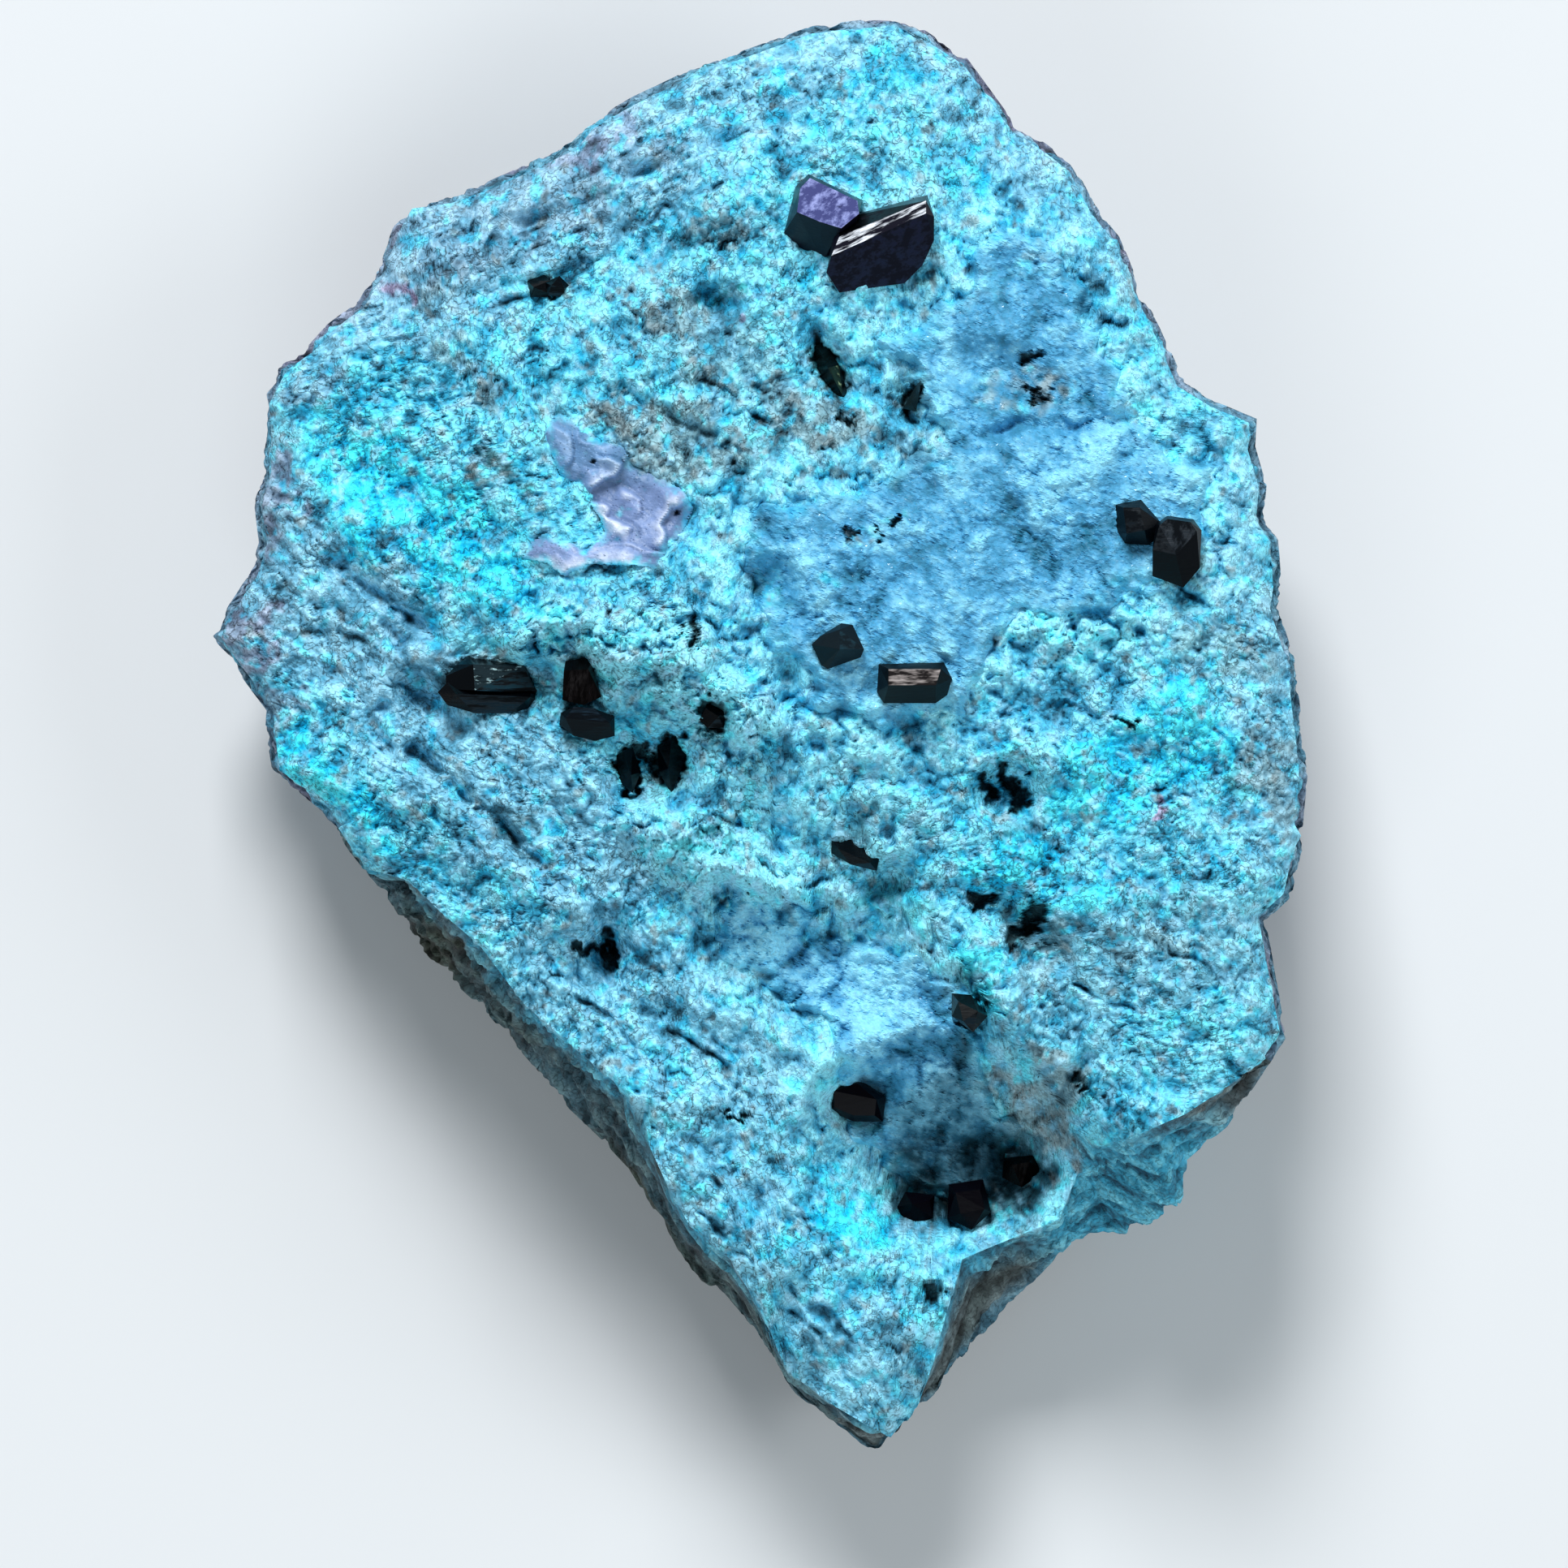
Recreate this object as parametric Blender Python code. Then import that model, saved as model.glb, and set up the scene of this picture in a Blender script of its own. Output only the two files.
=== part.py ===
"""Hand specimen: a rock with a turquoise chrysocolla skin, quartz druse and dark malachite crystals.

The specimen lies on its back. +X runs to the right of its face, +Y to the top of its face and +Z out of the
face. The origin is under the middle of its plan, at its lowest point. Shapes are worked out in millimetres and
put into meshes in metres.
"""

import math

import bmesh
import bpy
import numpy as np
from mathutils import Matrix, Vector
from mathutils.geometry import delaunay_2d_cdt

MM = 0.001

# Driving sizes, mm
CENTRE = (0.7, 2.8)  # the point that the rim is seen from in every direction
LATTICE = 1.58  # distance between surface points
FILM_LATTICE = 1.0
CLEARANCE = 0.3  # gap between pieces that touch
CRUST_GAP = 0.35
CRUST_THICKNESS = 0.6
POINT_HEIGHT = 0.9  # how far the druse's points rise over its hollows
FILM_THICKNESS = 0.5
BASE_SCALE = 0.74  # size of the flat back, as a share of the outline
STREAK_RISE = 0.5  # of the long ridges along the layering, left of the middle
RIM_INSET = 0.6  # from the outline in to the rim of the face, where nothing else says
RIM_ROUNDING = 1.8  # how far the face drops at its rim
BROKEN_RIM_ROUNDING = 0.3  # and where the rim is over a broken wall
ROUNDED_SHARE = 0.07  # of the way from the rim in to the centre
RING_TURN = 2.4  # smallest turn between two points of a wall ring, degrees
WALL_ROUGHNESS = 0.7  # of the broken walls, up and down
BURIED = 1.5  # how deep the crystals reach into the rock
WELD = 0.001
SEAT_BLANK = 30.0  # size of the cube that a crystal's seat is cut from
FLAT_ANGLE = math.radians(1.5)  # crystal faces this close to one plane are one face

# The walls as rings: the share of the way from the rim out to the outline, and of the drop; then, below the
# outline, the share of the outline's size and of its height over the back
WALL_STEPS = ((0.34, 0.45), (0.68, 0.74), (1.0, 1.0))
UNDER_STEPS = ((0.96, 0.72), (0.90, 0.43), (0.83, 0.17))

# Outline of the specimen seen face-on, clockwise from the top, mm
OUTLINE = (
    (8.4, 44.3), (10.2, 43.6), (12.8, 41.9), (14.1, 40.1), (15.8, 37.8), (17.7, 36.6), (19.4, 35.3), (20.7, 32.8),
    (22.2, 30.8), (23.5, 27.7), (25.3, 23.9), (26.2, 21.9), (28.3, 20.6), (30.7, 19.6), (30.6, 17.9), (31.3, 15.5),
    (31.1, 13.4), (32.0, 12.1), (32.2, 9.3), (32.0, 7.9), (33.0, 4.7), (33.4, 1.4), (33.8, -2.2), (33.5, -5.6),
    (33.9, -6.3), (33.4, -7.2), (32.8, -9.9), (31.2, -11.4), (31.8, -14.7), (32.5, -18.6), (31.5, -20.1),
    (30.0, -22.4), (28.9, -24.1), (26.4, -26.2), (26.7, -27.1), (26.3, -28.8), (24.8, -30.1), (22.4, -31.0),
    (19.6, -31.2), (18.2, -32.6), (15.8, -35.1), (12.4, -38.7), (10.8, -40.8), (9.3, -42.2), (8.1, -43.7),
    (7.1, -44.3), (5.6, -43.5), (3.3, -42.0), (1.5, -39.9), (-0.2, -36.9), (-2.2, -34.5), (-3.7, -33.8),
    (-4.7, -32.6), (-6.1, -30.1), (-8.1, -26.8), (-9.5, -25.3), (-11.8, -23.1), (-14.4, -20.0), (-17.1, -16.9),
    (-19.5, -14.8), (-21.2, -12.9), (-23.0, -10.1), (-25.4, -7.1), (-27.0, -4.7), (-28.6, -3.4), (-30.2, -2.2),
    (-30.6, 0.4), (-30.5, 1.6), (-32.5, 4.2), (-33.9, 6.2), (-32.9, 8.1), (-31.6, 10.1), (-31.0, 12.0),
    (-31.3, 14.4), (-30.7, 16.4), (-30.7, 19.4), (-30.8, 20.8), (-29.7, 22.9), (-27.9, 24.2), (-26.8, 25.4),
    (-24.8, 26.9), (-23.6, 28.9), (-22.6, 31.6), (-21.8, 33.0), (-19.3, 33.4), (-16.8, 34.3), (-14.1, 35.5),
    (-11.6, 36.7), (-10.3, 38.1), (-8.1, 39.4), (-4.3, 41.2), (-0.6, 42.5), (3.3, 43.9), (6.2, 44.2),
)
# Rim of the face where it stands well inside the outline, above the broken walls, clockwise, mm
BROKEN_RIM = (
    (31.2, -19.8), (28.2, -21.9), (26.2, -23.2), (22.7, -24.7), (20.7, -25.2), (19.5, -24.4), (19.7, -26.7),
    (18.5, -29.8), (12.5, -32.3), (11.5, -35.7), (10.7, -38.7), (9.5, -42.2), (8.1, -43.4),
    (4.7, -41.4), (1.7, -39.2), (0.2, -35.7), (-1.8, -32.2), (-4.3, -30.2), (-5.8, -27.4), (-6.8, -25.2),
    (-7.1, -22.9), (-10.8, -19.7), (-14.5, -16.5), (-17.2, -12.9), (-19.8, -10.7), (-21.6, -8.9), (-24.6, -8.1),
    (-26.3, -5.7),
)
# Borders of the two quartz crusts and of the film, mm
UPPER_DRUSE = (
    (3.7, 25.5), (7.2, 26.0), (10.0, 27.0), (11.8, 28.9), (12.7, 31.4), (15.7, 33.5), (19.7, 30.4), (22.8, 24.4),
    (24.9, 19.4), (28.9, 17.4), (29.3, 13.4), (28.0, 9.3), (23.2, 6.9), (16.0, 5.1), (13.2, 0.1), (9.2, -0.9),
    (3.2, 0.1), (0.0, 3.9), (-1.8, 8.4), (-2.8, 12.9), (-2.6, 15.4), (1.2, 15.9), (5.7, 16.6), (9.2, 18.4),
    (7.2, 21.9),
)
HOLLOW_DRUSE = (
    (-3.3, -10.2), (-1.6, -8.3), (1.5, -8.6), (4.0, -10.1), (8.2, -11.0), (11.5, -12.7), (14.7, -15.4),
    (15.0, -19.2), (16.0, -21.9), (18.1, -25.8), (16.8, -28.9), (13.0, -30.6), (9.0, -29.7), (5.5, -26.9),
    (3.7, -24.2), (3.2, -20.2), (0.7, -17.4), (-2.1, -15.4), (-4.3, -12.9),
)
FILM = (
    (-13.7, 18.6), (-12.3, 19.9), (-11.2, 19.4), (-9.7, 18.1), (-8.4, 17.9), (-7.6, 16.6), (-6.1, 15.9),
    (-4.6, 15.1), (-4.0, 14.0), (-4.7, 12.4), (-5.6, 11.4), (-6.1, 10.2), (-7.3, 10.4), (-10.5, 10.5),
    (-11.7, 9.6), (-12.4, 10.0), (-13.1, 10.6), (-14.8, 10.9), (-14.1, 11.9), (-13.2, 12.5), (-11.8, 12.0),
    (-10.6, 11.5), (-9.6, 12.6), (-9.9, 13.4), (-10.7, 14.6), (-11.2, 15.5), (-12.3, 15.9), (-12.9, 17.4),
)

# Broad form of the face: x, y and height over the back, mm
LEVEL_REACH = 5.5
LEVELS = {
    "top rim": (6.0, 42.0, 17.0),
    "top right rim": (17.0, 35.0, 16.5),
    "upper left rim": (-13.0, 34.0, 15.5),
    "left shoulder": (-22.0, 29.0, 15.0),
    "upper band": (-6.0, 31.0, 20.0),
    "upper band, left": (-18.0, 24.0, 18.5),
    "left rim": (-29.5, 18.0, 14.5),
    "left corner": (-31.0, 7.0, 12.5),
    "left band": (-22.0, 10.0, 18.0),
    "lower left band": (-18.0, 0.0, 17.5),
    "lower left rim": (-25.0, -5.0, 14.0),
    "under the top crystals": (6.0, 30.0, 22.0),
    "upper middle": (-5.0, 22.0, 21.5),
    "right of the top crystals": (15.0, 28.0, 20.5),
    "upper druse": (14.0, 14.0, 22.0),
    "right corner rim": (29.0, 17.0, 17.5),
    "right crystals": (22.0, 11.0, 22.5),
    "film": (-9.0, 14.0, 22.5),
    "middle": (4.0, 5.0, 23.0),
    "lump ridge": (-8.0, 6.0, 23.5),
    "left of the middle": (-13.0, -2.0, 21.0),
    "shelf": (24.0, -6.0, 22.5),
    "shelf, right rim": (32.0, -4.0, 18.5),
    "shelf, lower": (25.0, -17.0, 21.5),
    "shelf, lower rim": (29.0, -19.0, 19.0),
    "right of the basin": (15.0, -9.0, 21.5),
    "basin": (4.0, -14.0, 18.0),
    "left of the basin": (-7.0, -10.0, 19.5),
    "lower left ledges": (-8.0, -18.0, 16.5),
    "deep hollow": (12.0, -26.0, 15.5),
    "left of the hollow": (1.0, -25.0, 17.5),
    "bright slope": (5.0, -32.0, 15.5),
    "lower wall rim": (-4.0, -27.0, 15.5),
    "lower tip": (7.0, -41.0, 12.0),
}
# Lumps, and hollows as negative lumps: x, y, half length, half width, turn in degrees, height
LUMPS = {
    "deep hollow": (12.2, -26.0, 8.4, 6.2, -12, -8.0),
    "deep hollow, left well": (9.6, -28.3, 2.6, 2.0, 0, -2.0),
    "deep hollow, right well": (15.2, -26.4, 2.4, 2.2, 0, -2.0),
    "step in the hollow": (11.4, -22.4, 4.2, 2.0, -15, 2.2),
    "basin": (3.6, -13.6, 8.0, 4.6, -20, -2.4),
    "basin floor": (7.0, -15.0, 4.5, 3.0, -30, -1.4),
    "frill": (0.2, -9.2, 3.4, 1.0, -20, 1.6),
    "frill, left": (-3.4, -8.4, 1.6, 1.4, 40, 1.3),
    "pocket": (5.8, -22.3, 2.4, 2.0, 0, -2.6),
    "slope pocket": (8.2, -8.9, 1.6, 1.5, 0, -2.2),
    "pit 1": (-8.0, -2.0, 1.7, 2.8, 12, -2.6),
    "pit 2": (-5.6, -2.2, 1.7, 2.6, 5, -2.6),
    "pit 3": (-3.0, 1.0, 1.5, 1.7, 0, -1.8),
    "ragged pit": (15.2, -3.3, 2.1, 1.9, 30, -2.8),
    "brown pits": (14.9, -10.8, 3.0, 1.5, -20, -2.2),
    "brown shadow": (17.4, -13.2, 2.4, 1.5, -15, -1.6),
    "cross pit": (-9.2, -13.4, 1.4, 2.8, 0, -2.8),
    "cross pit arm": (-10.6, -13.3, 2.2, 1.1, 0, -1.8),
    "teal hole": (0.6, 9.4, 1.7, 1.6, 0, -2.0),
    "teal cavity": (-3.0, 26.4, 1.8, 1.2, 20, -1.8),
    "left crystals' seat": (-16.5, 2.8, 5.2, 2.8, 0, -1.4),
    "film's seat": (-8.4, 13.6, 5.4, 3.6, -20, -1.2),
    "crystal hollow": (14.6, 22.6, 3.4, 1.6, -10, -1.2),
    "dark slot": (4.4, 22.8, 1.2, 2.6, 28, -1.8),
    "sliver's pit": (9.4, 20.8, 1.3, 1.6, 0, -1.0),
    "shaded crevice": (-20.4, 2.0, 2.6, 1.3, -50, -2.4),
    "lump 1": (-11.8, 8.2, 1.8, 1.6, 0, 1.6),
    "lump 2": (-13.8, 5.9, 1.9, 1.6, 0, 1.5),
    "lump 3": (-10.3, 6.6, 1.7, 1.5, 0, 1.6),
    "lump 4": (-8.7, 5.6, 1.7, 1.5, 0, 1.5),
    "lump 5": (-7.0, 5.0, 1.6, 1.5, 0, 1.5),
    "lump 6": (-4.4, 5.2, 1.8, 1.6, 0, 1.7),
    "lump 7": (-3.8, 3.4, 1.6, 1.5, 0, 1.3),
    "lump 8": (-1.8, 2.0, 2.0, 1.7, 0, 1.6),
    "lump 9": (0.0, 1.0, 1.8, 1.5, 0, 1.3),
    "lump 10": (-16.0, 8.4, 1.8, 1.5, 20, 1.2),
    "lump 11": (-5.6, -6.6, 2.2, 1.6, -30, 1.2),
    "lump 12": (18.6, -1.6, 2.4, 1.9, 0, 1.3),
    "lump 13": (21.6, -10.4, 2.6, 2.0, 20, 1.2),
    "lump 14": (28.4, -9.6, 2.6, 2.2, 60, 1.2),
    "lump 15": (24.6, 1.2, 2.8, 2.0, 10, 1.1),
    "lump 16": (-1.8, 32.6, 3.0, 2.0, 25, 1.2),
    "lump 17": (-20.4, 17.6, 3.4, 2.0, -35, 1.3),
    "lump 18": (-24.2, 12.6, 3.0, 1.9, -40, 1.2),
    "shelf lip": (22.8, -23.4, 4.0, 1.3, 8, 1.0),
    "lower lump": (25.0, -27.6, 2.4, 2.2, 0, 2.6),
}
# Crevices: half width, depth, and the line that each follows, mm
CREVICES = (
    (0.55, 2.4, ((-19.3, -2.4), (-17.0, -4.8), (-14.8, -6.6), (-13.2, -8.4))),
    (0.50, 1.8, ((-23.4, 7.2), (-21.8, 5.4))),
    (0.50, 1.8, ((-23.6, 2.2), (-22.0, 0.6))),
    (0.50, 1.8, ((-21.8, -0.6), (-19.6, -2.2))),
    (0.60, 2.0, ((-12.4, -14.2), (-9.0, -16.4), (-5.0, -17.2))),
    (0.50, 1.6, ((-27.4, 11.4), (-23.0, 8.2), (-18.6, 5.4))),
    (0.50, 1.4, ((-26.8, 4.6), (-24.4, 1.8), (-21.6, -3.2))),
    (0.50, 1.4, ((13.2, 17.9), (15.9, 19.2), (19.9, 18.8), (23.0, 19.7), (24.4, 20.6))),
    (0.60, 1.6, ((-20.0, 30.4), (-12.6, 32.0), (-5.4, 35.6), (0.6, 37.4))),
    (0.50, 1.2, ((-21.2, 26.2), (-12.8, 28.2), (-6.6, 30.4))),
    (0.50, 1.5, ((18.9, -21.2), (20.6, -19.2))),
    (0.60, 1.8, ((-1.0, 6.8), (1.8, 4.6), (1.4, 1.6), (4.4, -1.8), (9.0, -3.0))),
    (0.55, 1.6, ((16.8, 4.0), (21.0, 5.6), (27.2, 7.8))),
    (0.50, 1.4, ((-9.6, 21.6), (-4.2, 18.8), (0.8, 17.6), (6.0, 18.6))),
)
# Ledges: height, reach of the high side, and the line of the step with its high side on the left, mm
LEDGES = (
    (1.8, 3.5, ((3.6, -32.4), (1.0, -31.0), (-3.0, -26.4), (-7.2, -24.4))),
    (1.6, 3.0, ((-1.4, -22.0), (-5.4, -21.8), (-9.6, -19.6))),
    (1.2, 4.0, ((-8.6, -10.6), (-13.4, -9.4), (-17.8, -4.6), (-23.6, 0.4))),
    (1.0, 4.0, ((-3.0, 38.6), (-10.0, 35.2), (-18.6, 31.4))),
    (1.5, 3.0, ((9.4, -34.2), (5.0, -36.6), (2.4, -35.4))),
    (1.4, 2.5, ((17.6, -20.4), (16.2, -15.6), (16.0, -11.6))),
)

# Crystals: node name, then for each crystal grown together its upper corners: x, y and height over what it stands on
CRYSTALS = {
    "top_twin_crystals": (
        # a thick blade with a narrow bright face along its back
        (
            (4.4, 29.4, 3.2), (10.2, 32.0, 3.2), (10.2, 32.8, 2.8), (4.9, 30.6, 2.7), (4.9, 27.2, 1.0),
            (8.9, 27.8, 0.0), (10.0, 28.9, 0.5), (10.7, 30.4, 1.6), (10.7, 31.8, 2.7), (4.1, 28.4, 2.4),
            (10.3, 33.2, 0.4), (4.7, 31.7, 0.4),
        ),
        # a block whose top leans away
        (
            (3.1, 34.2, 2.3), (6.0, 32.8, 2.8), (6.1, 32.0, 3.1), (5.0, 31.1, 3.4), (3.7, 31.5, 3.3),
            (2.3, 32.1, 3.1), (2.5, 33.6, 2.5), (1.5, 30.9, 0.7), (2.1, 30.1, 0.3), (3.9, 29.2, 0.6),
            (5.2, 29.6, 0.5), (2.2, 33.7, 0.6), (3.0, 34.5, 0.6), (6.3, 32.9, 0.6),
        ),
    ),
    "right_twin_crystals": (
        (
            (25.5, 11.1, 2.6), (26.8, 12.5, 2.3), (24.1, 11.4, 2.3), (24.5, 12.9, 2.1), (25.0, 13.3, 2.0),
            (26.4, 13.1, 2.1), (24.1, 9.8, 1.0), (26.0, 9.1, 0.9), (27.0, 10.3, 1.2), (27.1, 12.6, 1.6),
            (24.3, 13.0, 1.0), (25.0, 13.5, 0.9), (26.6, 13.3, 0.9),
        ),
        (
            (22.3, 14.0, 1.3), (23.3, 14.0, 1.5), (23.6, 12.6, 1.9), (22.5, 12.4, 1.6), (21.8, 14.2, 0.3),
            (23.4, 14.5, 0.3), (24.7, 13.0, 0.6), (24.7, 12.3, 0.6), (23.8, 11.7, 0.4), (22.4, 11.8, 0.3),
            (21.9, 12.5, 0.3),
        ),
    ),
    "centre_rhomb_crystal": (
        (
            (4.9, 5.3, 2.2), (4.9, 6.5, 1.5), (6.4, 5.3, 1.3), (3.7, 6.1, 0.7), (3.2, 5.6, 0.6),
            (3.8, 4.3, 0.5), (4.2, 4.1, 0.4), (6.2, 4.8, 0.5), (5.7, 6.8, 0.6), (5.0, 6.9, 0.6),
        ),
    ),
    "centre_tabular_crystal": (
        (
            (7.9, 3.1, 2.0), (10.8, 3.1, 2.0), (11.1, 4.1, 1.5), (7.9, 4.1, 1.5), (7.3, 4.4, 0.5),
            (11.3, 4.5, 0.5), (11.8, 3.5, 0.6), (11.5, 2.5, 0.5), (10.8, 2.0, 0.4), (7.6, 2.0, 0.4),
            (7.2, 2.7, 0.5),
        ),
    ),
    "left_blade_crystals": (
        (
            (-17.6, 4.4, 1.9), (-14.5, 4.3, 1.8), (-13.9, 3.0, 1.6), (-17.5, 2.8, 2.0), (-18.6, 4.4, 0.8),
            (-19.3, 3.7, 0.8), (-19.3, 2.9, 0.9), (-13.5, 2.6, 0.7), (-17.9, 4.9, 0.3), (-14.3, 4.7, 0.3),
        ),
        (
            (-18.7, 2.6, 1.6), (-14.1, 2.4, 1.5), (-19.2, 1.9, 0.8), (-17.5, 1.4, 0.6), (-15.3, 1.4, 0.6),
            (-14.2, 1.7, 0.6), (-13.5, 2.2, 0.6), (-19.8, 2.7, 0.8), (-19.2, 3.3, 0.9), (-14.0, 3.0, 0.9),
        ),
    ),
    "left_block_crystal": (
        (
            (-12.0, 4.0, 2.2), (-10.5, 4.1, 2.3), (-12.1, 2.2, 1.1), (-10.8, 1.9, 0.9), (-9.7, 2.4, 1.1),
            (-11.9, 4.6, 1.3), (-10.7, 4.8, 1.3), (-10.3, 4.5, 1.5),
        ),
    ),
    "left_lower_blade_crystal": (
        (
            (-11.9, 1.1, 1.9), (-9.2, 0.8, 1.8), (-11.4, 1.8, 1.5), (-10.2, 1.7, 1.5), (-8.9, 1.2, 1.2),
            (-11.4, 0.0, 0.8), (-10.1, -0.3, 0.5), (-8.9, 0.0, 0.8), (-12.3, 0.7, 1.0), (-12.2, 1.4, 1.0),
        ),
    ),
    "upper_left_twin_crystals": (
        (
            (-13.9, 27.6, 0.9), (-12.9, 28.0, 1.0), (-12.9, 27.2, 0.8), (-14.3, 28.0, 0.3), (-13.2, 28.4, 0.3),
            (-14.1, 27.0, 0.3), (-12.9, 27.0, 0.4),
        ),
        (
            (-12.8, 27.7, 1.0), (-12.0, 27.5, 0.8), (-13.2, 27.9, 0.4), (-12.3, 28.3, 0.3), (-11.7, 27.7, 0.3),
            (-12.1, 27.0, 0.3), (-13.0, 27.1, 0.5),
        ),
    ),
    "slot_crystal": (
        (
            (3.5, 24.0, 0.7), (4.2, 22.6, 1.1), (5.1, 20.9, 0.8), (3.2, 23.9, 0.2), (3.9, 24.2, 0.2),
            (4.9, 22.8, 0.4), (5.5, 20.8, 0.2), (4.9, 20.6, 0.2), (3.7, 22.3, 0.3),
        ),
    ),
    "sliver_crystal": (
        (
            (9.6, 21.5, 1.4), (9.3, 20.4, 1.3), (9.9, 21.8, 0.9), (8.8, 20.1, 0.8), (9.6, 19.9, 0.8),
            (9.8, 20.9, 0.9),
        ),
    ),
    "pit_crystal_1": (
        (
            (-8.4, -0.9, 1.1), (-7.9, -2.4, 1.3), (-8.8, -1.2, 0.6), (-7.8, -0.7, 0.6), (-7.3, -2.2, 0.6),
            (-7.8, -3.5, 0.5), (-8.6, -2.9, 0.6),
        ),
    ),
    "pit_crystal_2": (
        (
            (-5.4, -0.1, 1.3), (-5.6, -2.0, 1.5), (-6.3, -0.6, 0.7), (-4.6, 0.2, 0.7), (-4.5, -1.2, 0.6),
            (-5.4, -3.6, 0.6), (-6.2, -2.2, 0.6),
        ),
    ),
    "pit_crystal_3": (
        (
            (-3.3, 1.7, 0.9), (-2.5, 1.2, 1.0), (-3.7, 1.0, 0.4), (-3.2, 2.1, 0.4), (-2.1, 1.6, 0.4),
            (-2.2, 0.5, 0.4), (-3.2, 0.5, 0.4),
        ),
    ),
    "pocket_crystal": (
        (
            (4.6, -21.9, 2.1), (6.0, -21.4, 2.3), (7.2, -22.4, 2.4), (7.1, -23.4, 1.9), (5.8, -23.4, 1.7),
            (4.6, -22.9, 1.7), (4.1, -21.6, 1.0), (6.1, -21.1, 1.0), (7.8, -22.3, 1.1), (7.6, -23.8, 0.9),
            (5.8, -23.8, 0.8), (4.2, -23.1, 0.8),
        ),
    ),
    "hollow_crystal_1": (
        (
            (9.4, -28.9, 2.2), (10.5, -28.7, 1.7), (9.0, -28.2, 1.4), (8.5, -29.1, 1.2), (9.3, -30.3, 1.1),
            (10.7, -29.8, 1.2), (10.8, -28.4, 1.2),
        ),
    ),
    "hollow_crystal_2": (
        (
            (12.1, -28.2, 2.2), (13.6, -28.0, 2.3), (13.9, -29.2, 2.0), (12.4, -29.5, 1.8), (11.7, -27.7, 1.3),
            (13.8, -27.4, 1.3), (14.3, -29.4, 1.2), (13.1, -30.5, 1.1), (11.6, -29.8, 1.1),
        ),
    ),
    "hollow_crystal_3": (
        (
            (15.6, -26.5, 2.0), (16.7, -26.3, 2.0), (15.1, -26.1, 1.2), (17.0, -25.9, 1.2), (17.4, -27.1, 1.2),
            (16.2, -27.9, 1.2), (15.0, -27.3, 1.2),
        ),
    ),
    "basin_edge_crystal": (
        (
            (12.2, -16.3, 2.0), (13.4, -16.9, 2.1), (12.5, -17.5, 1.7), (11.8, -15.8, 1.0), (13.0, -15.9, 1.1),
            (14.0, -17.2, 1.1), (13.1, -18.2, 1.0), (11.8, -17.2, 1.0),
        ),
    ),
    "slope_crystal": (
        (
            (4.8, -6.9, 0.9), (6.8, -7.8, 0.9), (4.4, -6.4, 0.3), (5.6, -6.3, 0.3), (7.4, -7.3, 0.3),
            (7.2, -8.3, 0.3), (5.6, -7.9, 0.3), (4.4, -7.2, 0.3),
        ),
    ),
}

# Colour, roughness and metallic value of each finish
FINISHES = {
    "turquoise_rock": ((0.16, 0.62, 0.72), 0.75, 0.0),
    "quartz_druse": ((0.42, 0.68, 0.84), 0.2, 0.0),
    "dark_crystal": ((0.02, 0.035, 0.04), 0.12, 0.0),
    "lavender_film": ((0.58, 0.62, 0.82), 0.4, 0.0),
}


def hashed(i, j, seed):
    """A fixed number from 0 to 1 for each pair of whole numbers."""
    mixed = (i * 374761393 + j * 668265263 + seed * 974634777) & 0xFFFFFFFF
    mixed = ((mixed ^ (mixed >> 13)) * 1274126177) & 0xFFFFFFFF
    return ((mixed ^ (mixed >> 16)) & 0xFFFF) / 0xFFFF


def smooth_noise(x, y, cell, seed):
    """Noise from -1 to 1: fixed numbers at the corners of square cells, with a smooth step between them."""
    i = np.floor(x / cell).astype(np.int64)
    j = np.floor(y / cell).astype(np.int64)
    u = x / cell - i
    v = y / cell - j
    u = u * u * (3 - 2 * u)
    v = v * v * (3 - 2 * v)
    low = hashed(i, j, seed) * (1 - u) + hashed(i + 1, j, seed) * u
    high = hashed(i, j + 1, seed) * (1 - u) + hashed(i + 1, j + 1, seed) * u
    return 2 * (low * (1 - v) + high * v) - 1


def path_offset(x, y, path):
    """Distance from a line of straight stretches, positive on its left, and a fade from 1 along it to 0 at its ends."""
    points = np.array(path)
    best = np.full(np.shape(x), 1e9)
    side = np.ones(np.shape(x))
    along = np.zeros(np.shape(x))
    stretches = len(points) - 1
    for n in range(stretches):
        (ax, ay), (bx, by) = points[n], points[n + 1]
        dx, dy = bx - ax, by - ay
        t = np.clip(((x - ax) * dx + (y - ay) * dy) / (dx * dx + dy * dy), 0, 1)
        px, py = x - ax - t * dx, y - ay - t * dy
        distance = np.hypot(px, py)
        nearer = distance < best
        best = np.where(nearer, distance, best)
        side = np.where(nearer, np.where(dx * py - dy * px >= 0, 1.0, -1.0), side)
        along = np.where(nearer, (n + t) / stretches, along)
    fade = np.clip(np.minimum(along, 1 - along) / 0.15, 0, 1)
    return best, side, fade


def ring_radius(points, angle):
    """How far a star-shaped ring of points lies from the centre in each direction, on its straight stretches."""
    p = np.array(points) - CENTRE
    turns = np.arctan2(p[:, 1], p[:, 0])
    order = np.argsort(turns)
    p = np.vstack((p[order], p[order][:1]))
    limits = np.append(turns[order], turns[order][0] + math.tau)
    turned = np.where(angle < limits[0], angle + math.tau, angle)
    n = np.clip(np.searchsorted(limits, turned, side="right") - 1, 0, len(limits) - 2)
    a, b = p[n], p[n + 1]
    ux, uy = np.cos(turned), np.sin(turned)
    across = (b[..., 0] - a[..., 0]) * uy - (b[..., 1] - a[..., 1]) * ux
    return (a[..., 1] * (b[..., 0] - a[..., 0]) - a[..., 0] * (b[..., 1] - a[..., 1])) / across


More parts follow.
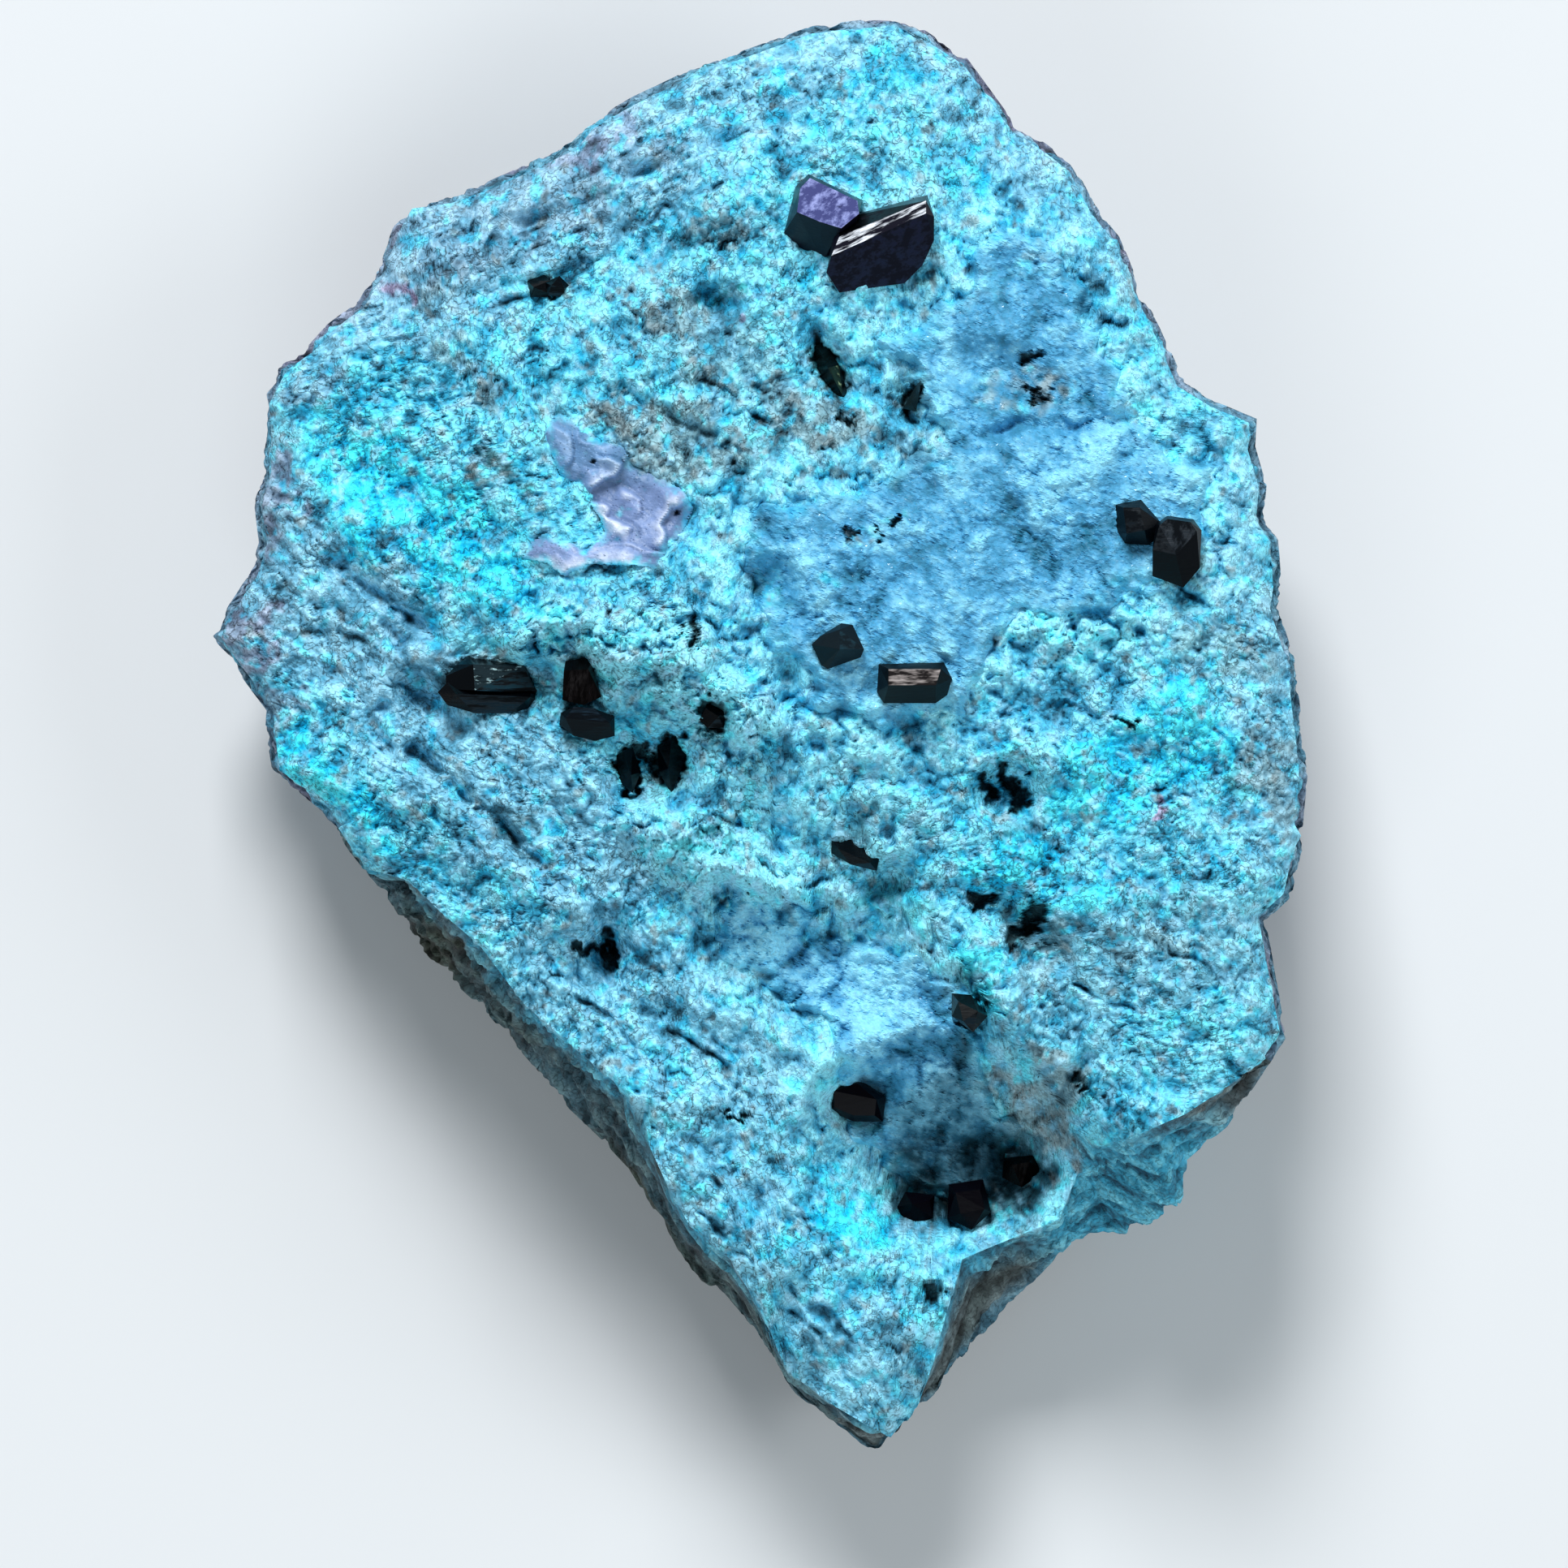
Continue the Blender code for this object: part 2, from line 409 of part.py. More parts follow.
def rim_radius(angle):
    """Distance from the centre to the rim of the face: inside the outline, and further in over the broken walls."""
    outline = ring_radius(OUTLINE, angle)
    broken = ring_radius(BROKEN_RIM, angle)
    first = math.atan2(BROKEN_RIM[0][1] - CENTRE[1], BROKEN_RIM[0][0] - CENTRE[0])
    last = math.atan2(BROKEN_RIM[-1][1] - CENTRE[1], BROKEN_RIM[-1][0] - CENTRE[0])
    over_wall = (angle <= first) & (angle >= last)
    return np.where(over_wall, np.minimum(broken, outline - RIM_INSET / 2), outline - RIM_INSET)


def streaks(x, y, turn, length, width, seed):
    """Noise from -1 to 1 in long cells that lie along a direction, as the edges of layers do."""
    c, s = math.cos(math.radians(turn)), math.sin(math.radians(turn))
    return smooth_noise((x * c + y * s) / length, (y * c - x * s) / width, 1.0, seed)


def surface_height(x, y):
    """Height of the rock's face: broad levels, lumps and hollows, crevices, ledges, roughness and a rounded rim."""
    weight = np.zeros(np.shape(x))
    height = np.zeros(np.shape(x))
    for lx, ly, level in LEVELS.values():
        w = np.exp(-((x - lx) ** 2 + (y - ly) ** 2) / (2 * LEVEL_REACH**2)) + 1e-9
        weight += w
        height += w * level
    height /= weight
    for lx, ly, half_length, half_width, turn, rise in LUMPS.values():
        c, s = math.cos(math.radians(turn)), math.sin(math.radians(turn))
        u = ((x - lx) * c + (y - ly) * s) / half_length
        v = ((y - ly) * c - (x - lx) * s) / half_width
        height += rise * np.clip(1 - (u * u + v * v) / 1.7, 0, 1) ** 1.5
    for half_width, depth, path in CREVICES:
        distance, side, fade = path_offset(x, y, path)
        height -= depth * fade * np.exp(-((distance / half_width) ** 2))
    for rise, reach, path in LEDGES:
        distance, side, fade = path_offset(x, y, path)
        step = 0.5 + 0.5 * np.tanh(side * distance / 0.5)
        height += rise * fade * step * np.exp(-distance / reach)
    leftwards = np.clip((2.0 - x) / 8, 0, 1)
    upwards = np.clip((y - 16) / 8, 0, 1)
    upper = streaks(x, y, 26, 9.0, 2.6, 13) * upwards
    lower = streaks(x, y, -40, 8.0, 2.4, 14) * (1 - upwards)
    height += STREAK_RISE * leftwards * (upper + lower)
    height += 0.40 * smooth_noise(x, y, 4.3, 11) + 0.32 * smooth_noise(x, y, 1.9, 12)
    angle = np.arctan2(y - CENTRE[1], x - CENTRE[0])
    outwards = np.hypot(x - CENTRE[0], y - CENTRE[1]) / rim_radius(angle)
    rounding = np.clip((outwards - 1 + ROUNDED_SHARE) / ROUNDED_SHARE, 0, 1) ** 2
    on_wall = ring_radius(OUTLINE, angle) - rim_radius(angle) > 2 * RIM_INSET
    return height - np.where(on_wall, BROKEN_RIM_ROUNDING, RIM_ROUNDING) * rounding


def inside(x, y, border):
    """True for each point that lies inside a closed border, by counting the border's crossings."""
    crossings = np.zeros(np.shape(x), dtype=int)
    for (ax, ay), (bx, by) in zip(border, border[1:] + border[:1]):
        spans = (ay > y) != (by > y)
        with np.errstate(divide="ignore", invalid="ignore"):
            crossing = ax + (y - ay) * (bx - ax) / (by - ay)
        crossings += spans & (x < crossing)
    return crossings % 2 == 1


def border_distance(x, y, border):
    """Distance from each point to a closed border."""
    return path_offset(x, y, border + border[:1])[0]


def divided(border, step):
    """A closed border with its long stretches divided into steps."""
    points = []
    for a, b in zip(border, border[1:] + border[:1]):
        count = max(1, round(math.dist(a, b) / step))
        points += [(a[0] + (b[0] - a[0]) * k / count, a[1] + (b[1] - a[1]) * k / count) for k in range(count)]
    return points


def lattice(step, seed):
    """Rows of points a step apart over the whole plan, every second row shifted, and which third each belongs to."""
    i, j = np.meshgrid(np.arange(-60, 61), np.arange(-70, 71))
    x = (i + 0.5 * (j % 2)) * step
    y = j * step * math.sqrt(3) / 2
    x = x + 0.16 * step * (2 * hashed(i, j, seed) - 1)
    y = y + 0.16 * step * (2 * hashed(i, j, seed + 1) - 1)
    third = (i - (j - j % 2) // 2 + 2 * j) % 3
    return x.ravel(), y.ravel(), third.ravel()


def ring_angles():
    """Directions of the wall's points: the corners of the outline and of the broken rim, with close ones left out."""
    corners = list(BROKEN_RIM) + list(OUTLINE)
    kept = []
    for x, y in corners:
        turn = math.atan2(y - CENTRE[1], x - CENTRE[0])
        if all(abs((turn - other + math.pi) % math.tau - math.pi) > math.radians(RING_TURN) for other in kept):
            kept.append(turn)
    return np.array(sorted(kept))


def face_plan(angles):
    """The plan of the face as triangles: points, triangles, and the third of the lattice that each point is in."""
    radius = rim_radius(angles)
    rim = list(zip(CENTRE[0] + radius * np.cos(angles), CENTRE[1] + radius * np.sin(angles)))
    points = list(rim)
    thirds = [0] * len(rim)
    edges = []
    borders = (
        (divided(UPPER_DRUSE, LATTICE), LATTICE),
        (divided(HOLLOW_DRUSE, LATTICE), LATTICE),
        (divided(FILM, FILM_LATTICE), FILM_LATTICE),
    )
    for border, step in borders:
        first = len(points)
        count = len(border)
        points += border
        thirds += [0] * count
        edges += [(first + k, first + (k + 1) % count) for k in range(count)]
    x, y, third = lattice(LATTICE, 3)
    keep = inside(x, y, rim) & (border_distance(x, y, rim) > 0.45 * LATTICE)
    for border, step in borders:
        keep &= border_distance(x, y, border) > 0.45 * step
    keep &= ~inside(x, y, borders[2][0])
    points += list(zip(x[keep], y[keep]))
    thirds += list(third[keep])
    x, y, third = lattice(FILM_LATTICE, 7)
    keep = inside(x, y, borders[2][0]) & (border_distance(x, y, borders[2][0]) > 0.45 * FILM_LATTICE)
    points += list(zip(x[keep], y[keep]))
    thirds += list(third[keep])
    rim_face = [list(range(len(rim)))]
    result = delaunay_2d_cdt([Vector(p) for p in points], edges, rim_face, 1, 1e-6)
    plan = np.array([tuple(p) for p in result[0]])
    triangles = np.array([tuple(t) for t in result[2]])
    source = [origin[0] if origin else 0 for origin in result[3]]
    return plan, triangles, np.array(thirds)[source], len(rim)


def material(name):
    """A plain material of one of the finishes."""
    colour, roughness, metallic = FINISHES[name]
    made = bpy.data.materials.get(name) or bpy.data.materials.new(name)
    made.use_nodes = True
    shader = made.node_tree.nodes["Principled BSDF"]
    shader.inputs["Base Color"].default_value = (*colour, 1.0)
    shader.inputs["Roughness"].default_value = roughness
    shader.inputs["Metallic"].default_value = metallic
    made.diffuse_color = (*colour, 1.0)
    return made


def add_object(name, points, faces, finish):
    """An object from points in mm and faces, with its faces turned outwards."""
    mesh = bpy.data.meshes.new(name)
    mesh.from_pydata([tuple(float(v) * MM for v in p) for p in points], [], [tuple(map(int, f)) for f in faces])
    form = bmesh.new()
    form.from_mesh(mesh)
    bmesh.ops.recalc_face_normals(form, faces=form.faces)
    form.to_mesh(mesh)
    form.free()
    mesh.materials.append(material(finish))
    made = bpy.data.objects.new(name, mesh)
    bpy.context.scene.collection.objects.link(made)
    return made


def wall_rings(angles):
    """Rings of points from under the rim of the face, out to the outline, and in and down to the flat back."""
    c, s = np.cos(angles), np.sin(angles)
    rim = rim_radius(angles)
    outline = ring_radius(OUTLINE, angles)
    rim_height = surface_height(CENTRE[0] + rim * c, CENTRE[1] + rim * s)
    drop = np.clip(1.6 + 2.6 * (outline - rim), 0, 8.5)
    rings = []
    for n, (out, down) in enumerate(WALL_STEPS):
        row = np.full_like(angles, 0.9 * n)
        rough = WALL_ROUGHNESS * smooth_noise(angles * 7, row, 1.0, 21) * (outline - rim > 2 * RIM_INSET)
        radius = rim + out * (outline - rim)
        rings.append((radius, rim_height - down * drop + rough))
    edge_height = rings[-1][1]
    for n, (scale, height) in enumerate(UNDER_STEPS):
        row = np.full_like(angles, 0.9 * n)
        broad = 0.035 * smooth_noise(angles * 5, row, 1.0, 22) + 0.02 * smooth_noise(angles * 13, row, 1.0, 24)
        tilt = 0.10 * smooth_noise(angles * 6, row, 1.0, 23)
        rings.append((outline * np.minimum(scale + broad, 0.995), edge_height * (height + tilt)))
    rings.append((outline * BASE_SCALE, np.zeros_like(angles)))
    return [np.stack((CENTRE[0] + r * c, CENTRE[1] + r * s, z), axis=1) for r, z in rings]


def add_matrix(plan, triangles, heights, angles, rim_count):
    """The rock: its face, the walls under the rim and the flat back."""
    points = [(x, y, z) for (x, y), z in zip(plan, heights)]
    faces = [tuple(t) for t in triangles]
    above = list(range(rim_count))
    for ring in wall_rings(angles):
        first = len(points)
        points += [tuple(p) for p in ring]
        below = list(range(first, first + rim_count))
        for k in range(rim_count):
            n = (k + 1) % rim_count
            faces.append((above[k], below[k], below[n]))
            faces.append((above[k], below[n], above[n]))
        above = below
    faces.append(tuple(above))
    return add_object("matrix", points, faces, "turquoise_rock")


def add_skin(name, plan, triangles, low, high, finish):
    """A skin over some triangles of the face, from its low side to its high side, closed around its border."""
    used, corners = np.unique(triangles, return_inverse=True)
    corners = corners.reshape(-1, 3)
    count = len(used)
    points = [(*plan[n], low[n]) for n in used] + [(*plan[n], high[n]) for n in used]
    faces = [tuple(t[::-1]) for t in corners] + [tuple(t + count) for t in corners]
    directed = {(int(t[k]), int(t[(k + 1) % 3])) for t in corners for k in range(3)}
    for a, b in sorted(directed):
        if (b, a) not in directed:
            faces.append((a, b, b + count))
            faces.append((a, b + count, a + count))
    return add_object(name, points, faces, finish)


def film_lift(x, y):
    """How far the film stands off the rock: a curled tongue, a raised lower band and right lobe, and edges near it."""
    swell = 0.9 * np.exp(-((x + 8.7) ** 2 / 2.2 + (y - 14.2) ** 2 / 3.0))
    for half_width, rise, path in (
        (0.8, 1.0, ((-14.4, 11.2), (-12.4, 11.4), (-9.0, 11.0), (-6.4, 10.6))),
        (0.8, 0.9, ((-6.0, 11.2), (-4.9, 13.0), (-5.0, 14.6), (-6.6, 15.2))),
        (0.7, 0.8, ((-12.2, 19.2), (-10.6, 16.6), (-9.6, 14.4))),
        (0.7, 0.7, ((-8.6, 17.4), (-8.2, 15.6), (-7.8, 14.2))),
    ):
        distance, side, fade = path_offset(x, y, path)
        swell = swell + rise * np.exp(-((distance / half_width) ** 2))
    return np.clip(swell, 0, 1.5)


def crystal_corners(corners):
    """A crystal's upper corners, and under each of them one that is buried in the rock."""
    x, y = np.mean(corners, axis=0)[:2].reshape(2, 1)
    rock = float(surface_height(x, y)[0])
    on_crust = inside(x, y, UPPER_DRUSE)[0] or inside(x, y, HOLLOW_DRUSE)[0]
    ground = rock + (CRUST_GAP + CRUST_THICKNESS if on_crust else 0)
    upper = [Vector((x, y, ground + height)) for x, y, height in corners]
    return upper + [Vector((x, y, rock - BURIED)) for x, y, height in corners]


def add_crystal(name, corners, grown):
    """A flat-faced crystal: the tightest flat-faced body around its corners, with each face moved out by the growth."""
    form = bmesh.new()
    for corner in crystal_corners(corners):
        form.verts.new(corner)
    hull = bmesh.ops.convex_hull(form, input=form.verts)
    spare = {part for part in hull["geom_interior"] + hull["geom_unused"] if isinstance(part, bmesh.types.BMVert)}
    bmesh.ops.delete(form, geom=list(spare), context="VERTS")
    bmesh.ops.recalc_face_normals(form, faces=form.faces)
    bmesh.ops.dissolve_limit(form, angle_limit=FLAT_ANGLE, verts=form.verts, edges=form.edges)
    sides = [(face.normal.copy(), face.calc_center_median()) for face in form.faces]
    if grown:
        middle = sum((corner.co for corner in form.verts), Vector()) / len(form.verts)
        form.clear()
        bmesh.ops.create_cube(form, size=SEAT_BLANK, matrix=Matrix.Translation(middle))
        for normal, place in sides:
            cut = bmesh.ops.bisect_plane(
                form,
                geom=form.verts[:] + form.edges[:] + form.faces[:],
                plane_co=place + normal * grown,
                plane_no=normal,
                clear_outer=True,
            )
            rim = [part for part in cut["geom_cut"] if isinstance(part, bmesh.types.BMEdge)]
            if rim:
                bmesh.ops.edgeloop_fill(form, edges=rim)
    bmesh.ops.remove_doubles(form, verts=form.verts, dist=WELD)
    form.verts.index_update()
    points = [tuple(corner.co) for corner in form.verts]
    faces = [[corner.index for corner in face.verts] for face in form.faces]
    form.free()
    return add_object(name, points, faces, "dark_crystal")


def as_guide(shape):
    """Keep a shape as a cutter that isn't part of the object."""
    shape.hide_render = True
    shape.display_type = "WIRE"
    return shape


def combine(target, other, operation):
    """Join another closed shape to a target, or take it away."""
    change = target.modifiers.new(f"{operation.lower()}_{other.name}", "BOOLEAN")
    change.operation = operation
    change.solver = "EXACT"
    change.object = other


def near(corners, border):
    """True where a crystal's seat reaches into a crust's border."""
    x, y = np.array(corners)[:, 0], np.array(corners)[:, 1]
    return bool((inside(x, y, border) | (border_distance(x, y, border) < 2 * CLEARANCE)).any())


def add_crystals(matrix, crusts):
    """Every crystal, with crystals grown together joined, and its seat cut in the rock and in the crusts around it."""
    for name, group in CRYSTALS.items():
        crystal = add_crystal(name, group[0], 0.0)
        for n, corners in enumerate(group):
            if n:
                twin = as_guide(add_crystal(f"{name}_part_{n}", corners, 0.0))
                combine(crystal, twin, "UNION")
            seat = as_guide(add_crystal(f"{name}_seat_{n}", corners, CLEARANCE))
            combine(matrix, seat, "DIFFERENCE")
            for crust, border in crusts:
                if near(corners, border):
                    combine(crust, seat, "DIFFERENCE")


def clear_scene():
    """Start from an empty scene."""
    for old in list(bpy.data.objects):
        bpy.data.objects.remove(old, do_unlink=True)


def build():
    """The whole specimen."""
    clear_scene()
    angles = ring_angles()
    plan, triangles, thirds, rim_count = face_plan(angles)
    x, y = plan[:, 0], plan[:, 1]
    heights = surface_height(x, y)
    matrix = add_matrix(plan, triangles, heights, angles, rim_count)
    middle = plan[triangles].mean(axis=1)
    points = np.where(thirds == 0, 0.0, -1.0) * POINT_HEIGHT * (0.6 + 0.8 * hashed(np.arange(len(plan)), thirds, 31))
    low = heights + CRUST_GAP
    high = low + CRUST_THICKNESS + np.maximum(points + POINT_HEIGHT, 0)
    crusts = []
    for name, border in (("upper_druse", UPPER_DRUSE), ("hollow_druse", HOLLOW_DRUSE)):
        covered = triangles[inside(middle[:, 0], middle[:, 1], border)]
        crusts.append((add_skin(name, plan, covered, low, high, "quartz_druse"), border))
    covered = triangles[inside(middle[:, 0], middle[:, 1], FILM)]
    film_low = low + film_lift(x, y)
    add_skin("mineral_film", plan, covered, film_low, film_low + FILM_THICKNESS, "lavender_film")
    add_crystals(matrix, crusts)


build()
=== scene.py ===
"""Dressed hand specimen: turquoise rock, quartz druse, dark crystals and a pale film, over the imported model.

Sizes are in millimetres until a mesh is made. +X is to the right of the face, +Y to its top and +Z out of it.
"""

import math

import bpy
import numpy as np
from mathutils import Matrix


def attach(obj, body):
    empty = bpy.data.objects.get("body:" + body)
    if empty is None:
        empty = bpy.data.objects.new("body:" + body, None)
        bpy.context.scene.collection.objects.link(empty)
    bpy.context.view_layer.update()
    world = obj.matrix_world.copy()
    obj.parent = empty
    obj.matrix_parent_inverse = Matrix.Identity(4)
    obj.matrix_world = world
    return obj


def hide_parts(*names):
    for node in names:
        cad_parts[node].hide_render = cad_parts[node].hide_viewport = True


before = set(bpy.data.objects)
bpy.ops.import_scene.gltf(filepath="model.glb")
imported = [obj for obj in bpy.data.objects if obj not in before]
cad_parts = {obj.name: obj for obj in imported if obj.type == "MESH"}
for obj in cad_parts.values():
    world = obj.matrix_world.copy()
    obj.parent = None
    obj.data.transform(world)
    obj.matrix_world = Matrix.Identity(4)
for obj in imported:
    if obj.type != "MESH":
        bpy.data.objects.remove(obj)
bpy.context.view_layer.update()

MM = 0.001
BODY = "root"

# Sizes that the solids have too, mm
CENTRE = (0.7, 2.8)  # every point of the rim is seen from here
TOP_LEVEL = 26.2
CRUST_GAP = 0.35
CRUST_THICKNESS = 0.6
FILM_THICKNESS = 0.34
BASE_SCALE = 0.74
STREAK_RISE = 0.5
RIM_INSET = 0.6
RING_TURN = 2.4
RIM_ROUNDING = 1.8
BROKEN_RIM_ROUNDING = 0.3
ROUNDED_SHARE = 0.07

# Fineness of the dressed surfaces
FACE_GRID = 550  # points along each side of the face's grid
WALL_RINGS = 40
UPPER_STEP = 0.125  # between the points of the upper druse, mm
HOLLOW_STEP = 0.115
FILM_STEP = 0.085

# Camera and light
VIEW_MIDDLE = (1.5, -2.95)  # of the picture, in plan
VIEW_WIDTH = 96.6  # that the picture shows at the rim
RIM_LEVEL = 16.0
CAMERA_DISTANCE = 1500.0

# The walls as rings: the share of the way from the rim out to the outline, and of the drop; then, below the
# outline, the share of the outline's size and of its height over the back
WALL_ROUGHNESS = 0.7
WALL_STEPS = ((0.34, 0.45), (0.68, 0.74), (1.0, 1.0))
UNDER_STEPS = ((0.96, 0.72), (0.90, 0.43), (0.83, 0.17))

# Outline of the specimen seen face-on, clockwise from the top
OUTLINE = (
    (8.4, 44.3), (10.2, 43.6), (12.8, 41.9), (14.1, 40.1), (15.8, 37.8), (17.7, 36.6), (19.4, 35.3), (20.7, 32.8),
    (22.2, 30.8), (23.5, 27.7), (25.3, 23.9), (26.2, 21.9), (28.3, 20.6), (30.7, 19.6), (30.6, 17.9), (31.3, 15.5),
    (31.1, 13.4), (32.0, 12.1), (32.2, 9.3), (32.0, 7.9), (33.0, 4.7), (33.4, 1.4), (33.8, -2.2), (33.5, -5.6),
    (33.9, -6.3), (33.4, -7.2), (32.8, -9.9), (31.2, -11.4), (31.8, -14.7), (32.5, -18.6), (31.5, -20.1),
    (30.0, -22.4), (28.9, -24.1), (26.4, -26.2), (26.7, -27.1), (26.3, -28.8), (24.8, -30.1), (22.4, -31.0),
    (19.6, -31.2), (18.2, -32.6), (15.8, -35.1), (12.4, -38.7), (10.8, -40.8), (9.3, -42.2), (8.1, -43.7),
    (7.1, -44.3), (5.6, -43.5), (3.3, -42.0), (1.5, -39.9), (-0.2, -36.9), (-2.2, -34.5), (-3.7, -33.8),
    (-4.7, -32.6), (-6.1, -30.1), (-8.1, -26.8), (-9.5, -25.3), (-11.8, -23.1), (-14.4, -20.0), (-17.1, -16.9),
    (-19.5, -14.8), (-21.2, -12.9), (-23.0, -10.1), (-25.4, -7.1), (-27.0, -4.7), (-28.6, -3.4), (-30.2, -2.2),
    (-30.6, 0.4), (-30.5, 1.6), (-32.5, 4.2), (-33.9, 6.2), (-32.9, 8.1), (-31.6, 10.1), (-31.0, 12.0),
    (-31.3, 14.4), (-30.7, 16.4), (-30.7, 19.4), (-30.8, 20.8), (-29.7, 22.9), (-27.9, 24.2), (-26.8, 25.4),
    (-24.8, 26.9), (-23.6, 28.9), (-22.6, 31.6), (-21.8, 33.0), (-19.3, 33.4), (-16.8, 34.3), (-14.1, 35.5),
    (-11.6, 36.7), (-10.3, 38.1), (-8.1, 39.4), (-4.3, 41.2), (-0.6, 42.5), (3.3, 43.9), (6.2, 44.2),
)
# Rim of the face above the broken walls, clockwise
BROKEN_RIM = (
    (31.2, -19.8), (28.2, -21.9), (26.2, -23.2), (22.7, -24.7), (20.7, -25.2), (19.5, -24.4), (19.7, -26.7),
    (18.5, -29.8), (12.5, -32.3), (11.5, -35.7), (10.7, -38.7), (9.5, -42.2), (8.1, -43.4),
    (4.7, -41.4), (1.7, -39.2), (0.2, -35.7), (-1.8, -32.2), (-4.3, -30.2), (-5.8, -27.4), (-6.8, -25.2),
    (-7.1, -22.9), (-10.8, -19.7), (-14.5, -16.5), (-17.2, -12.9), (-19.8, -10.7), (-21.6, -8.9), (-24.6, -8.1),
    (-26.3, -5.7),
)
UPPER_DRUSE = (
    (3.7, 25.5), (7.2, 26.0), (10.0, 27.0), (11.8, 28.9), (12.7, 31.4), (15.7, 33.5), (19.7, 30.4), (22.8, 24.4),
    (24.9, 19.4), (28.9, 17.4), (29.3, 13.4), (28.0, 9.3), (23.2, 6.9), (16.0, 5.1), (13.2, 0.1), (9.2, -0.9),
    (3.2, 0.1), (0.0, 3.9), (-1.8, 8.4), (-2.8, 12.9), (-2.6, 15.4), (1.2, 15.9), (5.7, 16.6), (9.2, 18.4),
    (7.2, 21.9),
)
HOLLOW_DRUSE = (
    (-3.3, -10.2), (-1.6, -8.3), (1.5, -8.6), (4.0, -10.1), (8.2, -11.0), (11.5, -12.7), (14.7, -15.4),
    (15.0, -19.2), (16.0, -21.9), (18.1, -25.8), (16.8, -28.9), (13.0, -30.6), (9.0, -29.7), (5.5, -26.9),
    (3.7, -24.2), (3.2, -20.2), (0.7, -17.4), (-2.1, -15.4), (-4.3, -12.9),
)
FILM = (
    (-13.7, 18.6), (-12.3, 19.9), (-11.2, 19.4), (-9.7, 18.1), (-8.4, 17.9), (-7.6, 16.6), (-6.1, 15.9),
    (-4.6, 15.1), (-4.0, 14.0), (-4.7, 12.4), (-5.6, 11.4), (-6.1, 10.2), (-7.3, 10.4), (-10.5, 10.5),
    (-11.7, 9.6), (-12.4, 10.0), (-13.1, 10.6), (-14.8, 10.9), (-14.1, 11.9), (-13.2, 12.5), (-11.8, 12.0),
    (-10.6, 11.5), (-9.6, 12.6), (-9.9, 13.4), (-10.7, 14.6), (-11.2, 15.5), (-12.3, 15.9), (-12.9, 17.4),
)

# Broad form of the face: x, y and height over the back
LEVEL_REACH = 5.5
LEVELS = {
    "top rim": (6.0, 42.0, 17.0),
    "top right rim": (17.0, 35.0, 16.5),
    "upper left rim": (-13.0, 34.0, 15.5),
    "left shoulder": (-22.0, 29.0, 15.0),
    "upper band": (-6.0, 31.0, 20.0),
    "upper band, left": (-18.0, 24.0, 18.5),
    "left rim": (-29.5, 18.0, 14.5),
    "left corner": (-31.0, 7.0, 12.5),
    "left band": (-22.0, 10.0, 18.0),
    "lower left band": (-18.0, 0.0, 17.5),
    "lower left rim": (-25.0, -5.0, 14.0),
    "under the top crystals": (6.0, 30.0, 22.0),
    "upper middle": (-5.0, 22.0, 21.5),
    "right of the top crystals": (15.0, 28.0, 20.5),
    "upper druse": (14.0, 14.0, 22.0),
    "right corner rim": (29.0, 17.0, 17.5),
    "right crystals": (22.0, 11.0, 22.5),
    "film": (-9.0, 14.0, 22.5),
    "middle": (4.0, 5.0, 23.0),
    "lump ridge": (-8.0, 6.0, 23.5),
    "left of the middle": (-13.0, -2.0, 21.0),
    "shelf": (24.0, -6.0, 22.5),
    "shelf, right rim": (32.0, -4.0, 18.5),
    "shelf, lower": (25.0, -17.0, 21.5),
    "shelf, lower rim": (29.0, -19.0, 19.0),
    "right of the basin": (15.0, -9.0, 21.5),
    "basin": (4.0, -14.0, 18.0),
    "left of the basin": (-7.0, -10.0, 19.5),
    "lower left ledges": (-8.0, -18.0, 16.5),
    "deep hollow": (12.0, -26.0, 15.5),
    "left of the hollow": (1.0, -25.0, 17.5),
    "bright slope": (5.0, -32.0, 15.5),
    "lower wall rim": (-4.0, -27.0, 15.5),
    "lower tip": (7.0, -41.0, 12.0),
}
